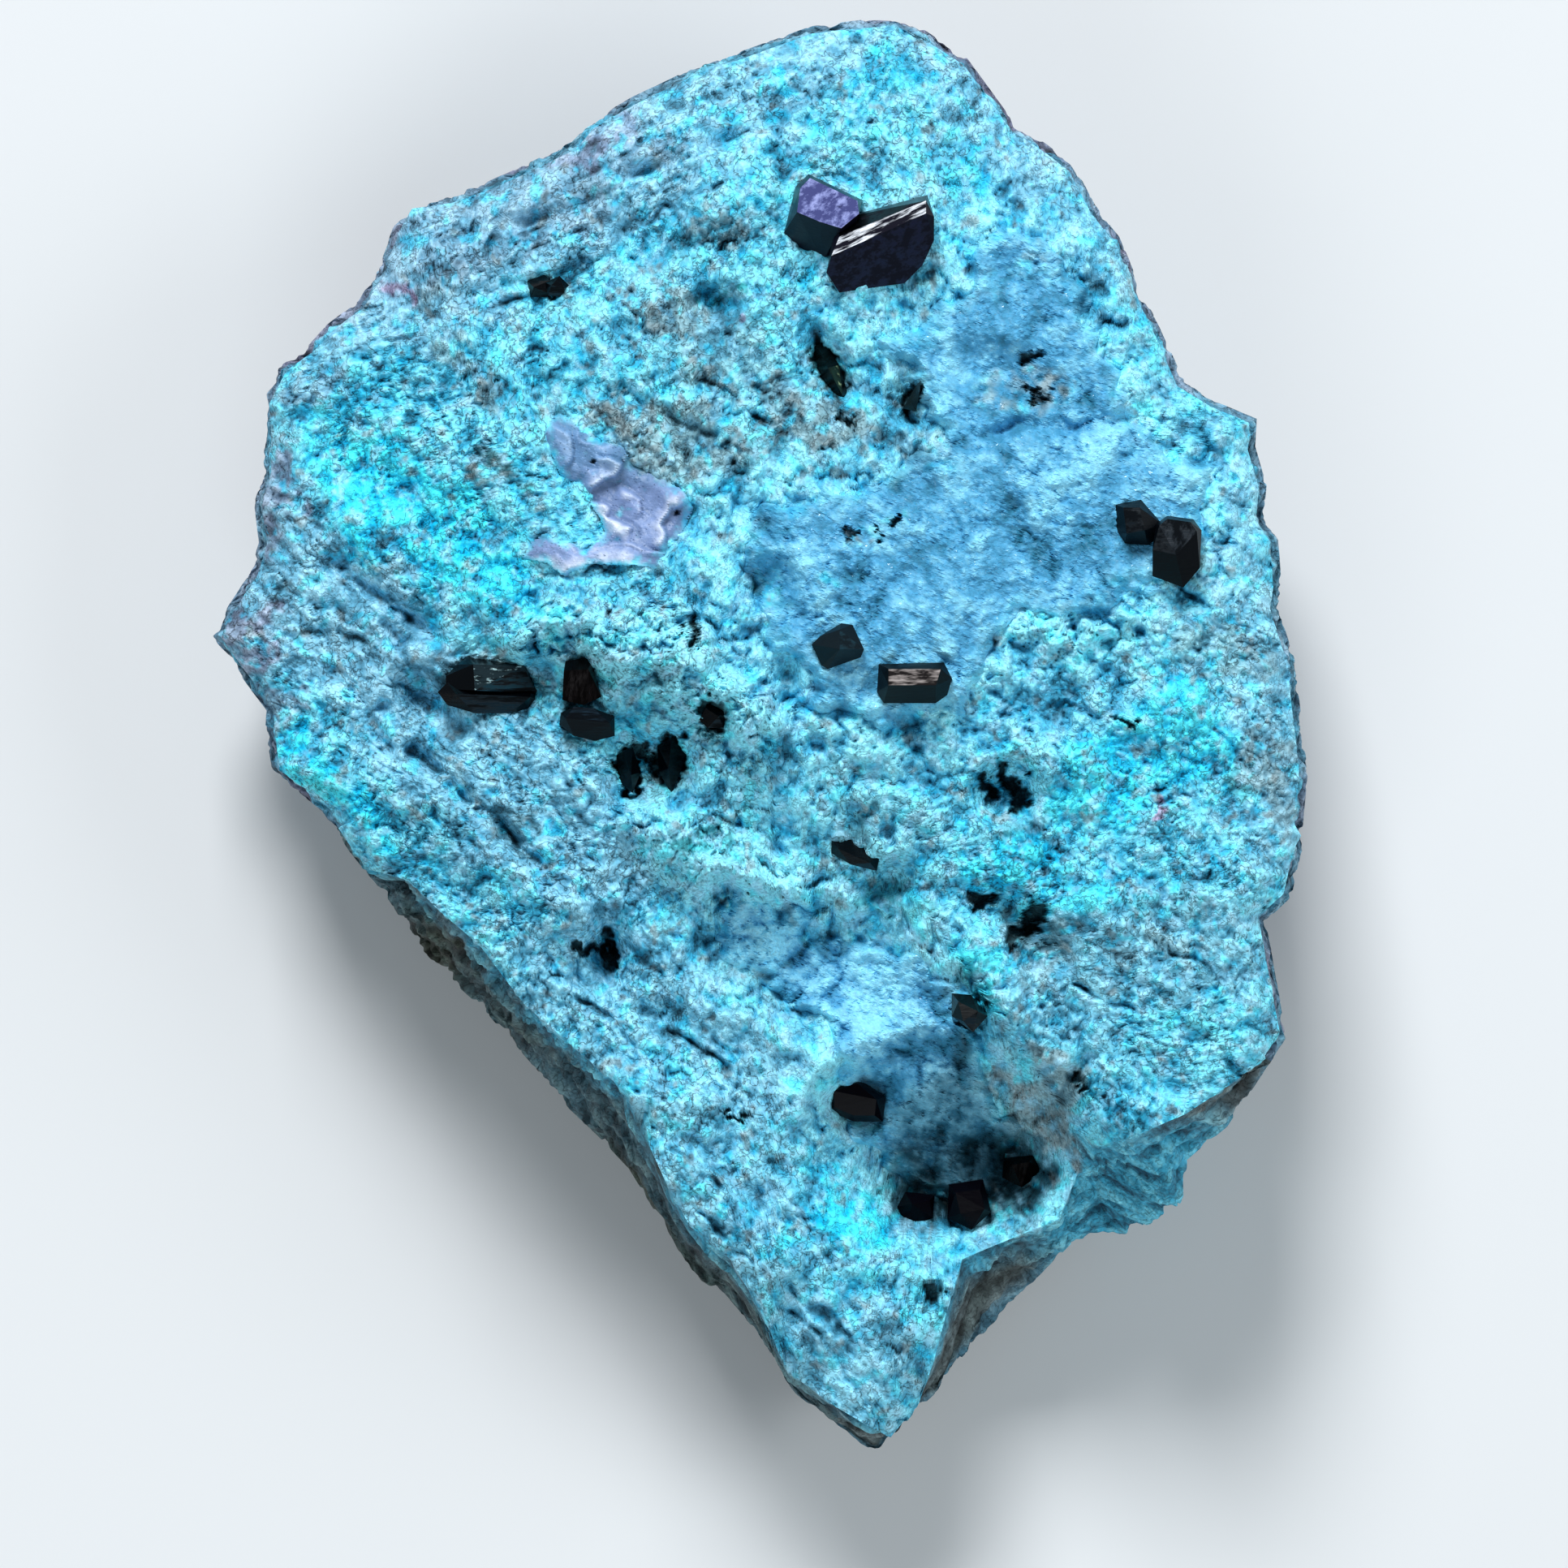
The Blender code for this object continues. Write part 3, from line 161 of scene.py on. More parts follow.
# Lumps, and hollows as negative lumps: x, y, half length, half width, turn in degrees, height
LUMPS = {
    "deep hollow": (12.2, -26.0, 8.4, 6.2, -12, -8.0),
    "deep hollow, left well": (9.6, -28.3, 2.6, 2.0, 0, -2.0),
    "deep hollow, right well": (15.2, -26.4, 2.4, 2.2, 0, -2.0),
    "step in the hollow": (11.4, -22.4, 4.2, 2.0, -15, 2.2),
    "basin": (3.6, -13.6, 8.0, 4.6, -20, -2.4),
    "basin floor": (7.0, -15.0, 4.5, 3.0, -30, -1.4),
    "frill": (0.2, -9.2, 3.4, 1.0, -20, 1.6),
    "frill, left": (-3.4, -8.4, 1.6, 1.4, 40, 1.3),
    "pocket": (5.8, -22.3, 2.4, 2.0, 0, -2.6),
    "slope pocket": (8.2, -8.9, 1.6, 1.5, 0, -2.2),
    "pit 1": (-8.0, -2.0, 1.7, 2.8, 12, -2.6),
    "pit 2": (-5.6, -2.2, 1.7, 2.6, 5, -2.6),
    "pit 3": (-3.0, 1.0, 1.5, 1.7, 0, -1.8),
    "ragged pit": (15.2, -3.3, 2.1, 1.9, 30, -2.8),
    "brown pits": (14.9, -10.8, 3.0, 1.5, -20, -2.2),
    "brown shadow": (17.4, -13.2, 2.4, 1.5, -15, -1.6),
    "cross pit": (-9.2, -13.4, 1.4, 2.8, 0, -2.8),
    "cross pit arm": (-10.6, -13.3, 2.2, 1.1, 0, -1.8),
    "teal hole": (0.6, 9.4, 1.7, 1.6, 0, -2.0),
    "teal cavity": (-3.0, 26.4, 1.8, 1.2, 20, -1.8),
    "left crystals' seat": (-16.5, 2.8, 5.2, 2.8, 0, -1.4),
    "film's seat": (-8.4, 13.6, 5.4, 3.6, -20, -1.2),
    "crystal hollow": (14.6, 22.6, 3.4, 1.6, -10, -1.2),
    "dark slot": (4.4, 22.8, 1.2, 2.6, 28, -1.8),
    "sliver's pit": (9.4, 20.8, 1.3, 1.6, 0, -1.0),
    "shaded crevice": (-20.4, 2.0, 2.6, 1.3, -50, -2.4),
    "lump 1": (-11.8, 8.2, 1.8, 1.6, 0, 1.6),
    "lump 2": (-13.8, 5.9, 1.9, 1.6, 0, 1.5),
    "lump 3": (-10.3, 6.6, 1.7, 1.5, 0, 1.6),
    "lump 4": (-8.7, 5.6, 1.7, 1.5, 0, 1.5),
    "lump 5": (-7.0, 5.0, 1.6, 1.5, 0, 1.5),
    "lump 6": (-4.4, 5.2, 1.8, 1.6, 0, 1.7),
    "lump 7": (-3.8, 3.4, 1.6, 1.5, 0, 1.3),
    "lump 8": (-1.8, 2.0, 2.0, 1.7, 0, 1.6),
    "lump 9": (0.0, 1.0, 1.8, 1.5, 0, 1.3),
    "lump 10": (-16.0, 8.4, 1.8, 1.5, 20, 1.2),
    "lump 11": (-5.6, -6.6, 2.2, 1.6, -30, 1.2),
    "lump 12": (18.6, -1.6, 2.4, 1.9, 0, 1.3),
    "lump 13": (21.6, -10.4, 2.6, 2.0, 20, 1.2),
    "lump 14": (28.4, -9.6, 2.6, 2.2, 60, 1.2),
    "lump 15": (24.6, 1.2, 2.8, 2.0, 10, 1.1),
    "lump 16": (-1.8, 32.6, 3.0, 2.0, 25, 1.2),
    "lump 17": (-20.4, 17.6, 3.4, 2.0, -35, 1.3),
    "lump 18": (-24.2, 12.6, 3.0, 1.9, -40, 1.2),
    "shelf lip": (22.8, -23.4, 4.0, 1.3, 8, 1.0),
    "lower lump": (25.0, -27.6, 2.4, 2.2, 0, 2.6),
}
# Crevices: half width, depth, and the line that each follows
CREVICES = (
    (0.55, 2.4, ((-19.3, -2.4), (-17.0, -4.8), (-14.8, -6.6), (-13.2, -8.4))),
    (0.50, 1.8, ((-23.4, 7.2), (-21.8, 5.4))),
    (0.50, 1.8, ((-23.6, 2.2), (-22.0, 0.6))),
    (0.50, 1.8, ((-21.8, -0.6), (-19.6, -2.2))),
    (0.60, 2.0, ((-12.4, -14.2), (-9.0, -16.4), (-5.0, -17.2))),
    (0.50, 1.6, ((-27.4, 11.4), (-23.0, 8.2), (-18.6, 5.4))),
    (0.50, 1.4, ((-26.8, 4.6), (-24.4, 1.8), (-21.6, -3.2))),
    (0.50, 1.4, ((13.2, 17.9), (15.9, 19.2), (19.9, 18.8), (23.0, 19.7), (24.4, 20.6))),
    (0.60, 1.6, ((-20.0, 30.4), (-12.6, 32.0), (-5.4, 35.6), (0.6, 37.4))),
    (0.50, 1.2, ((-21.2, 26.2), (-12.8, 28.2), (-6.6, 30.4))),
    (0.50, 1.5, ((18.9, -21.2), (20.6, -19.2))),
    (0.60, 1.8, ((-1.0, 6.8), (1.8, 4.6), (1.4, 1.6), (4.4, -1.8), (9.0, -3.0))),
    (0.55, 1.6, ((16.8, 4.0), (21.0, 5.6), (27.2, 7.8))),
    (0.50, 1.4, ((-9.6, 21.6), (-4.2, 18.8), (0.8, 17.6), (6.0, 18.6))),
)
# Ledges: height, reach of the high side, and the line of the step with its high side on the left
LEDGES = (
    (1.8, 3.5, ((3.6, -32.4), (1.0, -31.0), (-3.0, -26.4), (-7.2, -24.4))),
    (1.6, 3.0, ((-1.4, -22.0), (-5.4, -21.8), (-9.6, -19.6))),
    (1.2, 4.0, ((-8.6, -10.6), (-13.4, -9.4), (-17.8, -4.6), (-23.6, 0.4))),
    (1.0, 4.0, ((-3.0, 38.6), (-10.0, 35.2), (-18.6, 31.4))),
    (1.5, 3.0, ((9.4, -34.2), (5.0, -36.6), (2.4, -35.4))),
    (1.4, 2.5, ((17.6, -20.4), (16.2, -15.6), (16.0, -11.6))),
)

# Colours of the mineral surfaces, in hollows, on slopes and on crests: the hollow colour is painted shade and the crest
# colour painted highlight. The deep tone is painted shade in hollows and crevices, and the dark tone is painted shade
# in holes and also one dark blotch on the face
TONES = {
    "granular": ("#0a4c66", "#36b0d4", "#88ecff"),
    "cyan": ("#067ea8", "#00c2ee", "#4cf2ff"),
    "grey": ("#225468", "#68aecc", "#aae6fc"),
    "sky": ("#1c6a88", "#50bade", "#9af0ff"),
    "deep": ("#06161a", "#163a44", "#42788a"),
    "brown": ("#1e282a", "#66767a", "#a2b6ba"),
    "mauve": ("#4a3c58", "#8a6a90", "#c0a4c8"),
    "dark": ("#020404", "#0c1618", "#284a52"),
    "lilac": ("#30343e", "#686c84", "#aab0c8"),
    "olive": ("#10140e", "#30382e", "#5a6a60"),
    "teal": ("#022024", "#0a5e68", "#34b4bc"),
}
# Patches on the face: tone, strength, x, y, half length, half width, turn in degrees. The deep patches are painted
# shade in hollows and crevices, below lumps and round the crystals' seats
PATCHES = (
    ("sky", 0.85, -1.8, 3.9, 10.0, 4.5, -15), ("sky", 0.85, 3.2, -3.2, 9.0, 4.6, -10),
    ("sky", 0.7, -4.3, -7.2, 6.0, 3.4, -20), ("sky", 0.8, 17.2, 2.4, 9.0, 3.4, 8),
    ("sky", 0.7, -11.0, 6.6, 6.0, 3.0, 0), ("sky", 0.6, 9.5, 33.6, 6.0, 3.0, 10),
    ("sky", 0.8, 10.4, -13.4, 5.0, 3.0, -30), ("sky", 0.6, -6.0, 26.0, 6.0, 3.0, 10),
    ("sky", 0.6, 3.0, -22.0, 5.0, 3.4, -60), ("sky", 0.6, 24.0, 12.0, 5.0, 6.0, 0),
    ("grey", 0.9, -15.8, 30.6, 15.0, 3.6, 25), ("grey", 0.8, -1.8, 39.4, 10.0, 2.6, 20),
    ("grey", 0.9, -25.8, 7.3, 9.0, 4.2, -40), ("grey", 0.8, -16.8, -2.1, 12.0, 4.6, -42),
    ("grey", 0.6, -6.8, -17.1, 11.0, 4.2, -38), ("grey", 0.6, 5.8, -38.4, 5.0, 5.0, 0),
    ("grey", 0.5, -1.8, -29.6, 6.0, 4.0, -45), ("grey", 0.7, 14.0, 38.6, 7.0, 2.4, -55),
    ("grey", 0.6, 31.4, 0.4, 2.6, 9.0, 0), ("grey", 0.5, 23.2, -14.6, 8.0, 4.6, 10),
    ("grey", 0.5, 20.0, 32.0, 2.0, 6.0, 30), ("grey", 0.5, 29.6, 12.0, 2.0, 6.0, 0),
    ("brown", 0.8, 17.2, -23.1, 3.4, 2.4, -55), ("brown", 0.8, 15.5, 21.1, 2.6, 1.3, -10),
    ("brown", 0.7, 16.5, 28.9, 1.5, 0.8, 0), ("brown", 0.75, 3.2, 18.9, 4.0, 1.3, 0),
    ("brown", 0.7, -5.8, 17.9, 4.4, 2.1, 20), ("brown", 0.8, -8.3, 19.9, 1.6, 1.1, 0),
    ("dark", 0.8, -16.8, 15.9, 1.6, 0.8, -20), ("brown", 0.6, -16.8, 21.4, 1.3, 1.0, 0),
    ("brown", 0.6, -18.8, 23.4, 2.0, 0.9, -30), ("brown", 0.45, -1.8, 23.4, 3.4, 2.2, 0),
    ("brown", 0.7, -5.3, 26.1, 2.1, 0.9, -30), ("brown", 0.6, 2.0, 20.8, 1.6, 1.2, 0),
    ("brown", 0.5, 9.6, 17.6, 2.2, 0.9, 0), ("brown", 0.5, -20.0, 27.6, 2.4, 1.0, 20),
    ("brown", 0.5, 17.4, -13.2, 2.6, 1.6, -15), ("brown", 0.5, 28.0, 5.6, 4.0, 1.2, -15),
    ("cyan", 1.0, -20.8, 13.4, 7.4, 3.3, -36), ("cyan", 1.0, -26.8, -2.6, 6.6, 1.5, -42),
    ("cyan", 0.7, -15.6, 9.6, 3.0, 1.4, -40), ("cyan", 0.6, -25.8, 18.4, 3.0, 1.4, -30),
    ("cyan", 0.85, 24.7, -0.6, 4.2, 2.4, 0), ("cyan", 0.85, 20.7, -3.1, 3.6, 2.0, 30),
    ("cyan", 0.8, 26.2, 2.4, 2.6, 1.5, 20), ("cyan", 0.9, 15.2, -8.1, 2.3, 1.7, 0),
    ("cyan", 0.9, 14.0, -15.6, 1.4, 1.3, 0), ("cyan", 0.8, 13.2, -13.4, 1.2, 1.0, 0),
    ("cyan", 1.0, 5.7, -29.6, 2.4, 2.1, 0), ("cyan", 0.9, -2.8, -28.4, 1.3, 0.7, -30),
    ("cyan", 0.8, 1.5, -31.4, 1.0, 0.6, 0), ("cyan", 0.8, -12.8, -6.4, 1.0, 0.6, 0),
    ("cyan", 0.8, 0.5, 40.1, 1.2, 0.7, 20), ("cyan", 0.7, -3.3, 37.8, 2.2, 0.7, 20),
    ("cyan", 0.5, 7.7, 40.6, 2.4, 1.2, 0), ("cyan", 0.7, 12.7, 34.6, 0.8, 1.3, 0),
    ("cyan", 0.8, 9.5, -35.7, 1.3, 0.8, 0), ("cyan", 0.5, -14.8, -10.2, 2.2, 1.0, -40),
    ("cyan", 0.7, 19.2, -9.7, 2.2, 1.2, 0), ("cyan", 0.5, 23.2, -9.7, 2.0, 1.0, 0),
    ("cyan", 0.6, -5.8, -20.6, 2.0, 0.8, -30), ("cyan", 0.6, -8.8, 32.8, 1.4, 0.6, 25),
    ("cyan", 0.5, -0.6, 33.6, 1.6, 0.8, 25), ("cyan", 0.5, 26.0, -17.4, 3.0, 1.6, 10),
    ("cyan", 0.5, 23.4, 24.6, 1.0, 2.4, 20), ("cyan", 0.6, 6.0, -33.6, 1.8, 0.8, -20),
    ("cyan", 0.5, -23.0, 20.6, 2.4, 1.0, -30), ("cyan", 0.6, 0.0, 18.6, 0.8, 0.7, 0),
    ("mauve", 0.8, -22.1, 27.6, 0.9, 0.9, 0), ("mauve", 0.6, -1.3, 25.1, 0.7, 0.6, 0),
    ("mauve", 0.9, 24.5, -4.1, 0.5, 0.5, 0), ("mauve", 0.4, -10.3, 36.9, 3.4, 1.3, 32),
    ("teal", 0.8, 0.5, 9.0, 1.0, 1.3, -20), ("teal", 0.9, -2.9, 26.6, 1.1, 0.6, 15), ("teal", 0.8, 4.2, 9.6, 0.9, 0.5, 0),
    ("teal", 0.8, 8.3, 13.2, 0.9, 0.7, 0), ("teal", 0.7, -3.3, -6.4, 1.3, 1.7, 10), ("teal", 0.6, 29.0, -3.0, 0.6, 2.0, 0),
    ("teal", 0.6, 8.0, -9.8, 1.6, 1.2, -30), ("brown", 1.0, 6.5, 12.1, 0.9, 0.6, -10), ("brown", 0.9, 17.6, 21.6, 2.0, 1.2, -10),
    ("brown", 0.9, 15.8, -21.4, 1.4, 0.9, -45), ("brown", 0.95, 18.6, -24.6, 2.8, 1.3, -45),
    ("deep", 1.0, 12.8, -28.4, 4.6, 1.7, 4), ("deep", 0.9, 16.8, -26.2, 1.8, 2.0, 0), ("deep", 0.7, 9.6, -28.8, 1.8, 1.2, 0),
    ("deep", 0.7, -19.8, 2.4, 2.0, 0.9, -50), ("deep", 0.7, -12.6, 2.8, 1.4, 1.0, 0), ("deep", 0.6, -16.6, -4.4, 4.0, 0.5, -42),
    ("deep", 0.6, 6.0, -6.4, 2.2, 0.8, -35), ("deep", 0.6, 17.4, -12.6, 2.4, 1.3, -15), ("deep", 0.5, -6.4, 3.0, 1.2, 1.0, 0),
    ("brown", 0.6, 31.2, -2.6, 1.5, 4.0, 10), ("brown", 0.45, 25.0, -12.8, 2.4, 1.0, -10), ("deep", 0.35, 25.2, -10.4, 3.0, 0.8, -15),
    ("deep", 0.35, 27.0, -15.0, 3.0, 0.8, 20), ("deep", 0.30, 20.5, -14.8, 2.6, 0.9, -20), ("deep", 0.35, 15.2, -6.2, 2.2, 0.6, -10),
    ("deep", 0.45, 0.5, 17.4, 3.2, 0.8, 5), ("deep", 0.40, -4.5, 18.8, 2.2, 0.7, 20), ("deep", 0.35, 4.6, 19.4, 1.6, 0.7, 0),
    ("deep", 0.30, -6.6, 25.2, 1.8, 0.6, -40), ("deep", 0.30, -3.4, 30.6, 2.2, 0.6, 0), ("deep", 0.30, -12.6, 21.0, 1.8, 0.6, -30),
    ("lilac", 0.35, -15.8, 31.8, 13.0, 2.4, 25), ("lilac", 0.8, -30.2, 14.9, 1.6, 3.6, 0), ("lilac", 0.85, -32.0, 6.4, 2.4, 2.6, 0),
    ("lilac", 0.7, -30.0, 2.2, 1.6, 2.0, 0), ("lilac", 0.5, -27.4, 21.6, 2.6, 1.4, 40),
)
# Places where the skin is fluffiest: x, y, half length, half width
FLUFF = (
    (-8.0, 6.0, 6.0, 2.4), (-1.0, 1.5, 3.4, 2.4), (-5.4, 2.6, 2.0, 1.2), (-3.4, -7.0, 4.0, 2.4), (-12.6, 6.4, 3.0, 2.0),
    (20.0, 6.8, 5.0, 1.8), (0.5, -9.6, 5.0, 2.4), (-7.0, -5.2, 2.2, 1.2),
)
# Brown chips in the skin: x, y, half length, half width, turn in degrees
CHIPS = (
    (-2.3, 31.4, 2.0, 0.9, 5), (-7.1, 26.2, 2.1, 0.5, -42), (-2.7, 22.2, 1.9, 0.5, -32), (-8.6, 19.9, 1.3, 0.8, -60),
    (-16.7, 21.8, 0.7, 0.8, 0), (-17.1, 15.8, 1.3, 0.8, -30), (-1.3, 18.0, 1.1, 0.7, -20), (2.1, 20.6, 1.1, 0.6, 0),
    (3.7, 17.9, 1.1, 0.5, -20), (0.4, 21.8, 0.9, 0.5, 30), (6.3, 12.3, 0.6, 0.5, -10), (-6.6, 17.2, 1.0, 0.6, 10),
    (16.6, 21.6, 1.4, 0.5, -10),
)
# Thin splits between the rock's layers, sunk into the face and darkened as painted shade
SPLITS = (
    ((-6.8, -24.1), (-4.9, -25.7), (-1.0, -29.0)), ((0.4, -34.2), (3.0, -36.4), (6.2, -38.7)), ((3.0, -34.8), (6.2, -37.4)),
    ((-4.2, -28.7), (-2.4, -30.6), (-0.3, -32.9)), ((-27.8, 6.7), (-25.8, 6.3), (-23.6, 5.4)), ((-23.0, 4.1), (-20.0, 1.2)),
    ((-22.0, -0.5), (-19.7, -2.4)), ((-18.7, -3.1), (-16.1, -5.3), (-13.5, -7.9)), ((-20.4, -4.4), (-17.4, -7.3)),
    ((-29.5, 13.5), (-26.5, 12.6)), ((-23.0, 8.0), (-20.7, 7.2)), ((-10.0, -11.0), (-6.0, -14.5)),
    ((-12.0, -15.2), (-7.5, -18.8)), ((-6.0, -17.6), (-1.6, -20.8)), ((-20.0, 28.0), (-16.4, 30.4), (-13.0, 31.5)),
    ((-17.0, 26.0), (-10.0, 29.2)), ((-8.0, 31.0), (-1.0, 34.8)), ((-12.0, 34.0), (-6.0, 37.0)), ((16.4, 19.4), (20.6, 19.0)),
    ((14.0, 21.4), (17.8, 20.6)), ((27.0, 1.6), (30.6, -2.6)), ((24.4, -13.0), (28.6, -14.4)), ((19.0, -15.4), (23.4, -17.0)),
    ((8.6, 19.6), (11.8, 18.2)), ((-1.8, 19.8), (2.2, 18.4)), ((1.6, -33.4), (4.4, -36.6)), ((-9.4, -22.0), (-6.2, -24.6)),
)
# Holes in the skin, darkened inside as painted shade: x, y, half length, half width, turn in degrees, depth
PITS = (
    (15.2, -2.7, 0.5, 1.2, 30, 1.8), (13.9, -3.4, 0.45, 1.1, 10, 1.4), (16.2, -3.6, 0.4, 1.0, -20, 1.4),
    (13.5, -10.1, 0.8, 0.7, 0, 1.5), (16.8, -11.2, 0.6, 1.2, -20, 1.6), (15.9, -12.3, 0.8, 0.5, 20, 1.2), (12.9, -16.9, 0.8, 0.9, 0, 0.8),
    (-9.2, -13.3, 0.45, 1.3, 0, 1.8), (-10.8, -13.1, 1.2, 0.35, 5, 1.0), (-8.2, -2.2, 0.6, 1.5, 12, 1.4),
    (-5.5, -1.5, 0.9, 1.6, -8, 1.5), (-2.9, 1.3, 0.9, 1.0, 0, 1.0), (-7.0, -1.0, 0.9, 0.5, 0, 0.8),
    (4.3, 22.6, 0.8, 2.0, 28, 1.0), (9.3, 20.6, 0.5, 1.1, -25, 0.8), (5.6, 19.4, 0.5, 0.45, 0, 1.0),
    (8.2, 13.3, 0.45, 0.40, 0, 0.9), (7.2, 12.6, 0.30, 0.20, 60, 0.5), (5.5, 12.4, 0.20, 0.45, 0, 0.4), (16.4, 23.4, 0.6, 0.35, 20, 0.7), (16.9, 21.0, 0.8, 0.4, -10, 0.8),
    (19.7, -21.4, 0.35, 0.7, -20, 0.9), (-4.1, 6.6, 0.4, 0.8, 20, 1.0), (-1.5, -23.4, 0.6, 0.3, -10, 0.8),
    (10.6, -34.2, 0.9, 0.6, 30, 1.0), (22.6, 0.8, 1.0, 0.2, -20, 0.5),
    (-13.2, 27.4, 0.5, 0.4, 0, 0.5),
)
# Colours of the druse in the light, and darker as painted shade deep in the hollow, and the places of that painted
# shade: share, x, y, half length, half width
DRUSE_TONES = ("#28728f", "#4fa3cd", "#94def5")
SHADED_DRUSE_TONES = ("#082026", "#26586a", "#76aec4")
SHADED_DRUSE_PLACES = (
    (1.0, 15.6, -25.6, 3.4, 3.4), (1.0, 12.4, -27.6, 4.6, 2.6), (0.9, 9.2, -27.6, 3.0, 2.6), (0.8, 12.6, -23.4, 4.4, 3.0),
    (0.7, 13.4, -19.4, 2.0, 1.6),
)
# Painted light on the basin's druse, a lighter tone: x, y, half length, half width
BASIN_PAINTED_LIGHT = (3.5, -13.2, 9.0, 6.0)
# The film's colours, low and upper; its holes and specks as x, y, half length and half width, darkened as painted
# shade; and its folds, raised and lighter as painted highlight, as rise, reach and the line of the edge with its high
# side on the left
FILM_TONES = (("#48607e", "#8298c4", "#e0e8f8"), ("#447a9c", "#6c9ac4", "#a8cce8"))
FILM_HOLES = ((-10.3, 16.85, 0.17, 0.17), (-5.15, 13.7, 0.14, 0.17))
FOLDS = (
    (0.9, 0.8, ((-11.0, 15.35), (-9.4, 15.6), (-8.3, 16.5), (-10.1, 17.5))),
    (1.0, 0.9, ((-7.6, 12.6), (-8.6, 13.0), (-10.3, 14.6), (-11.0, 15.4))),
    (0.7, 0.5, ((-7.2, 13.2), (-7.4, 14.6), (-8.6, 15.6))),
    (0.9, 0.7, ((-5.9, 11.6), (-5.9, 12.8), (-5.5, 14.2), (-4.2, 14.4))),
    (1.0, 1.0, ((-14.8, 11.0), (-12.2, 9.8), (-9.6, 10.4), (-6.2, 10.2))),
    (0.6, 0.5, ((-5.4, 11.2), (-8.0, 11.9), (-11.0, 11.4), (-13.2, 12.2))),
    (0.6, 0.8, ((-12.0, 16.2), (-11.6, 18.0), (-12.6, 19.6))),
    (0.5, 0.6, ((-8.8, 17.9), (-10.4, 17.9), (-11.4, 19.0))),
)


def linear(colour):
    """The light that a screen colour such as #4bbdd6 stands for, as three shares from 0 to 1."""
    shares = np.array([int(colour[n:n + 2], 16) / 255 for n in (1, 3, 5)])
    return np.where(shares <= 0.04045, shares / 12.92, ((shares + 0.055) / 1.055) ** 2.4)


def hashed(i, j, seed):
    """A fixed number from 0 to 1 for each pair of whole numbers: multiply, fold and keep the low bits."""
    mixed = (i * 374761393 + j * 668265263 + seed * 974634777) & 0xFFFFFFFF
    mixed = ((mixed ^ (mixed >> 13)) * 1274126177) & 0xFFFFFFFF
    return ((mixed ^ (mixed >> 16)) & 0xFFFF) / 0xFFFF


def smooth_noise(x, y, cell, seed):
    """Noise from -1 to 1: fixed numbers at the corners of square cells, with a smooth step between them."""
    i = np.floor(x / cell).astype(np.int64)
    j = np.floor(y / cell).astype(np.int64)
    u = x / cell - i
    v = y / cell - j
    u = u * u * (3 - 2 * u)
    v = v * v * (3 - 2 * v)
    low = hashed(i, j, seed) * (1 - u) + hashed(i + 1, j, seed) * u
    high = hashed(i, j + 1, seed) * (1 - u) + hashed(i + 1, j + 1, seed) * u
    return 2 * (low * (1 - v) + high * v) - 1


def layered_noise(x, y, cell, seed, octaves=3, gain=0.5):
    """Smooth noise in ever finer cells, each turned by 37 degrees and weaker than the one before by the gain."""
    total = np.zeros(np.shape(x))
    whole = 0.0
    for n in range(octaves):
        total += gain**n * smooth_noise(x, y, cell / 2**n, seed + n)
        whole += gain**n
        x, y = 0.8 * x - 0.6 * y, 0.6 * x + 0.8 * y
    return total / whole


def slope_noise(x, y, cell, seed):
    """Noise from about -1 to 1: fixed slopes at the corners of square cells, with a smooth step between them."""
    i = np.floor(x / cell).astype(np.int64)
    j = np.floor(y / cell).astype(np.int64)
    u = x / cell - i
    v = y / cell - j
    step_u = u * u * u * (u * (6 * u - 15) + 10)
    step_v = v * v * v * (v * (6 * v - 15) + 10)
    total = np.zeros(np.shape(x))
    for di, share_u in ((0, 1 - step_u), (1, step_u)):
        for dj, share_v in ((0, 1 - step_v), (1, step_v)):
            turn = math.tau * hashed(i + di, j + dj, seed)
            total += share_u * share_v * (np.cos(turn) * (u - di) + np.sin(turn) * (v - dj))
    return 1.6 * total


def rough_noise(x, y, cell, seed, octaves, gain=0.6):
    """Slope noise in ever finer cells, each turned by 37 degrees and weaker by the gain."""
    total = np.zeros(np.shape(x))
    for n in range(octaves):
        total += gain**n * slope_noise(x, y, cell / 2**n, seed + n)
        x, y = 0.8 * x - 0.6 * y, 0.6 * x + 0.8 * y
    return total


def billows(x, y, cell, seed, octaves, gain=0.6):
    """Lumps on lumps, 0 in the sharp gaps and about 1 on the crests: slope noise folded at its zero."""
    total = np.zeros(np.shape(x))
    whole = 0.0
    for n in range(octaves):
        total += gain**n * np.minimum(np.abs(slope_noise(x, y, cell / 2**n, seed + n)) * 1.9, 1)
        whole += gain**n
        x, y = 0.8 * x - 0.6 * y, 0.6 * x + 0.8 * y
    return total / whole


def cells(x, y, cell, seed):
    """Distances to the nearest and the second nearest of points strewn one to a cell, and the nearest one's number."""
    i = np.floor(x / cell).astype(np.int64)
    j = np.floor(y / cell).astype(np.int64)
    first = np.full(np.shape(x), 9.0)
    second = np.full(np.shape(x), 9.0)
    number = np.zeros(np.shape(x))
    for di in (-1, 0, 1):
        for dj in (-1, 0, 1):
            a, b = i + di, j + dj
            px = a + hashed(a, b, seed) - x / cell
            py = b + hashed(a, b, seed + 1) - y / cell
            distance = np.hypot(px, py)
            nearer = distance < first
            second = np.where(nearer, first, np.minimum(second, distance))
            number = np.where(nearer, hashed(a, b, seed + 2), number)
            first = np.where(nearer, distance, first)
    return first, second, number


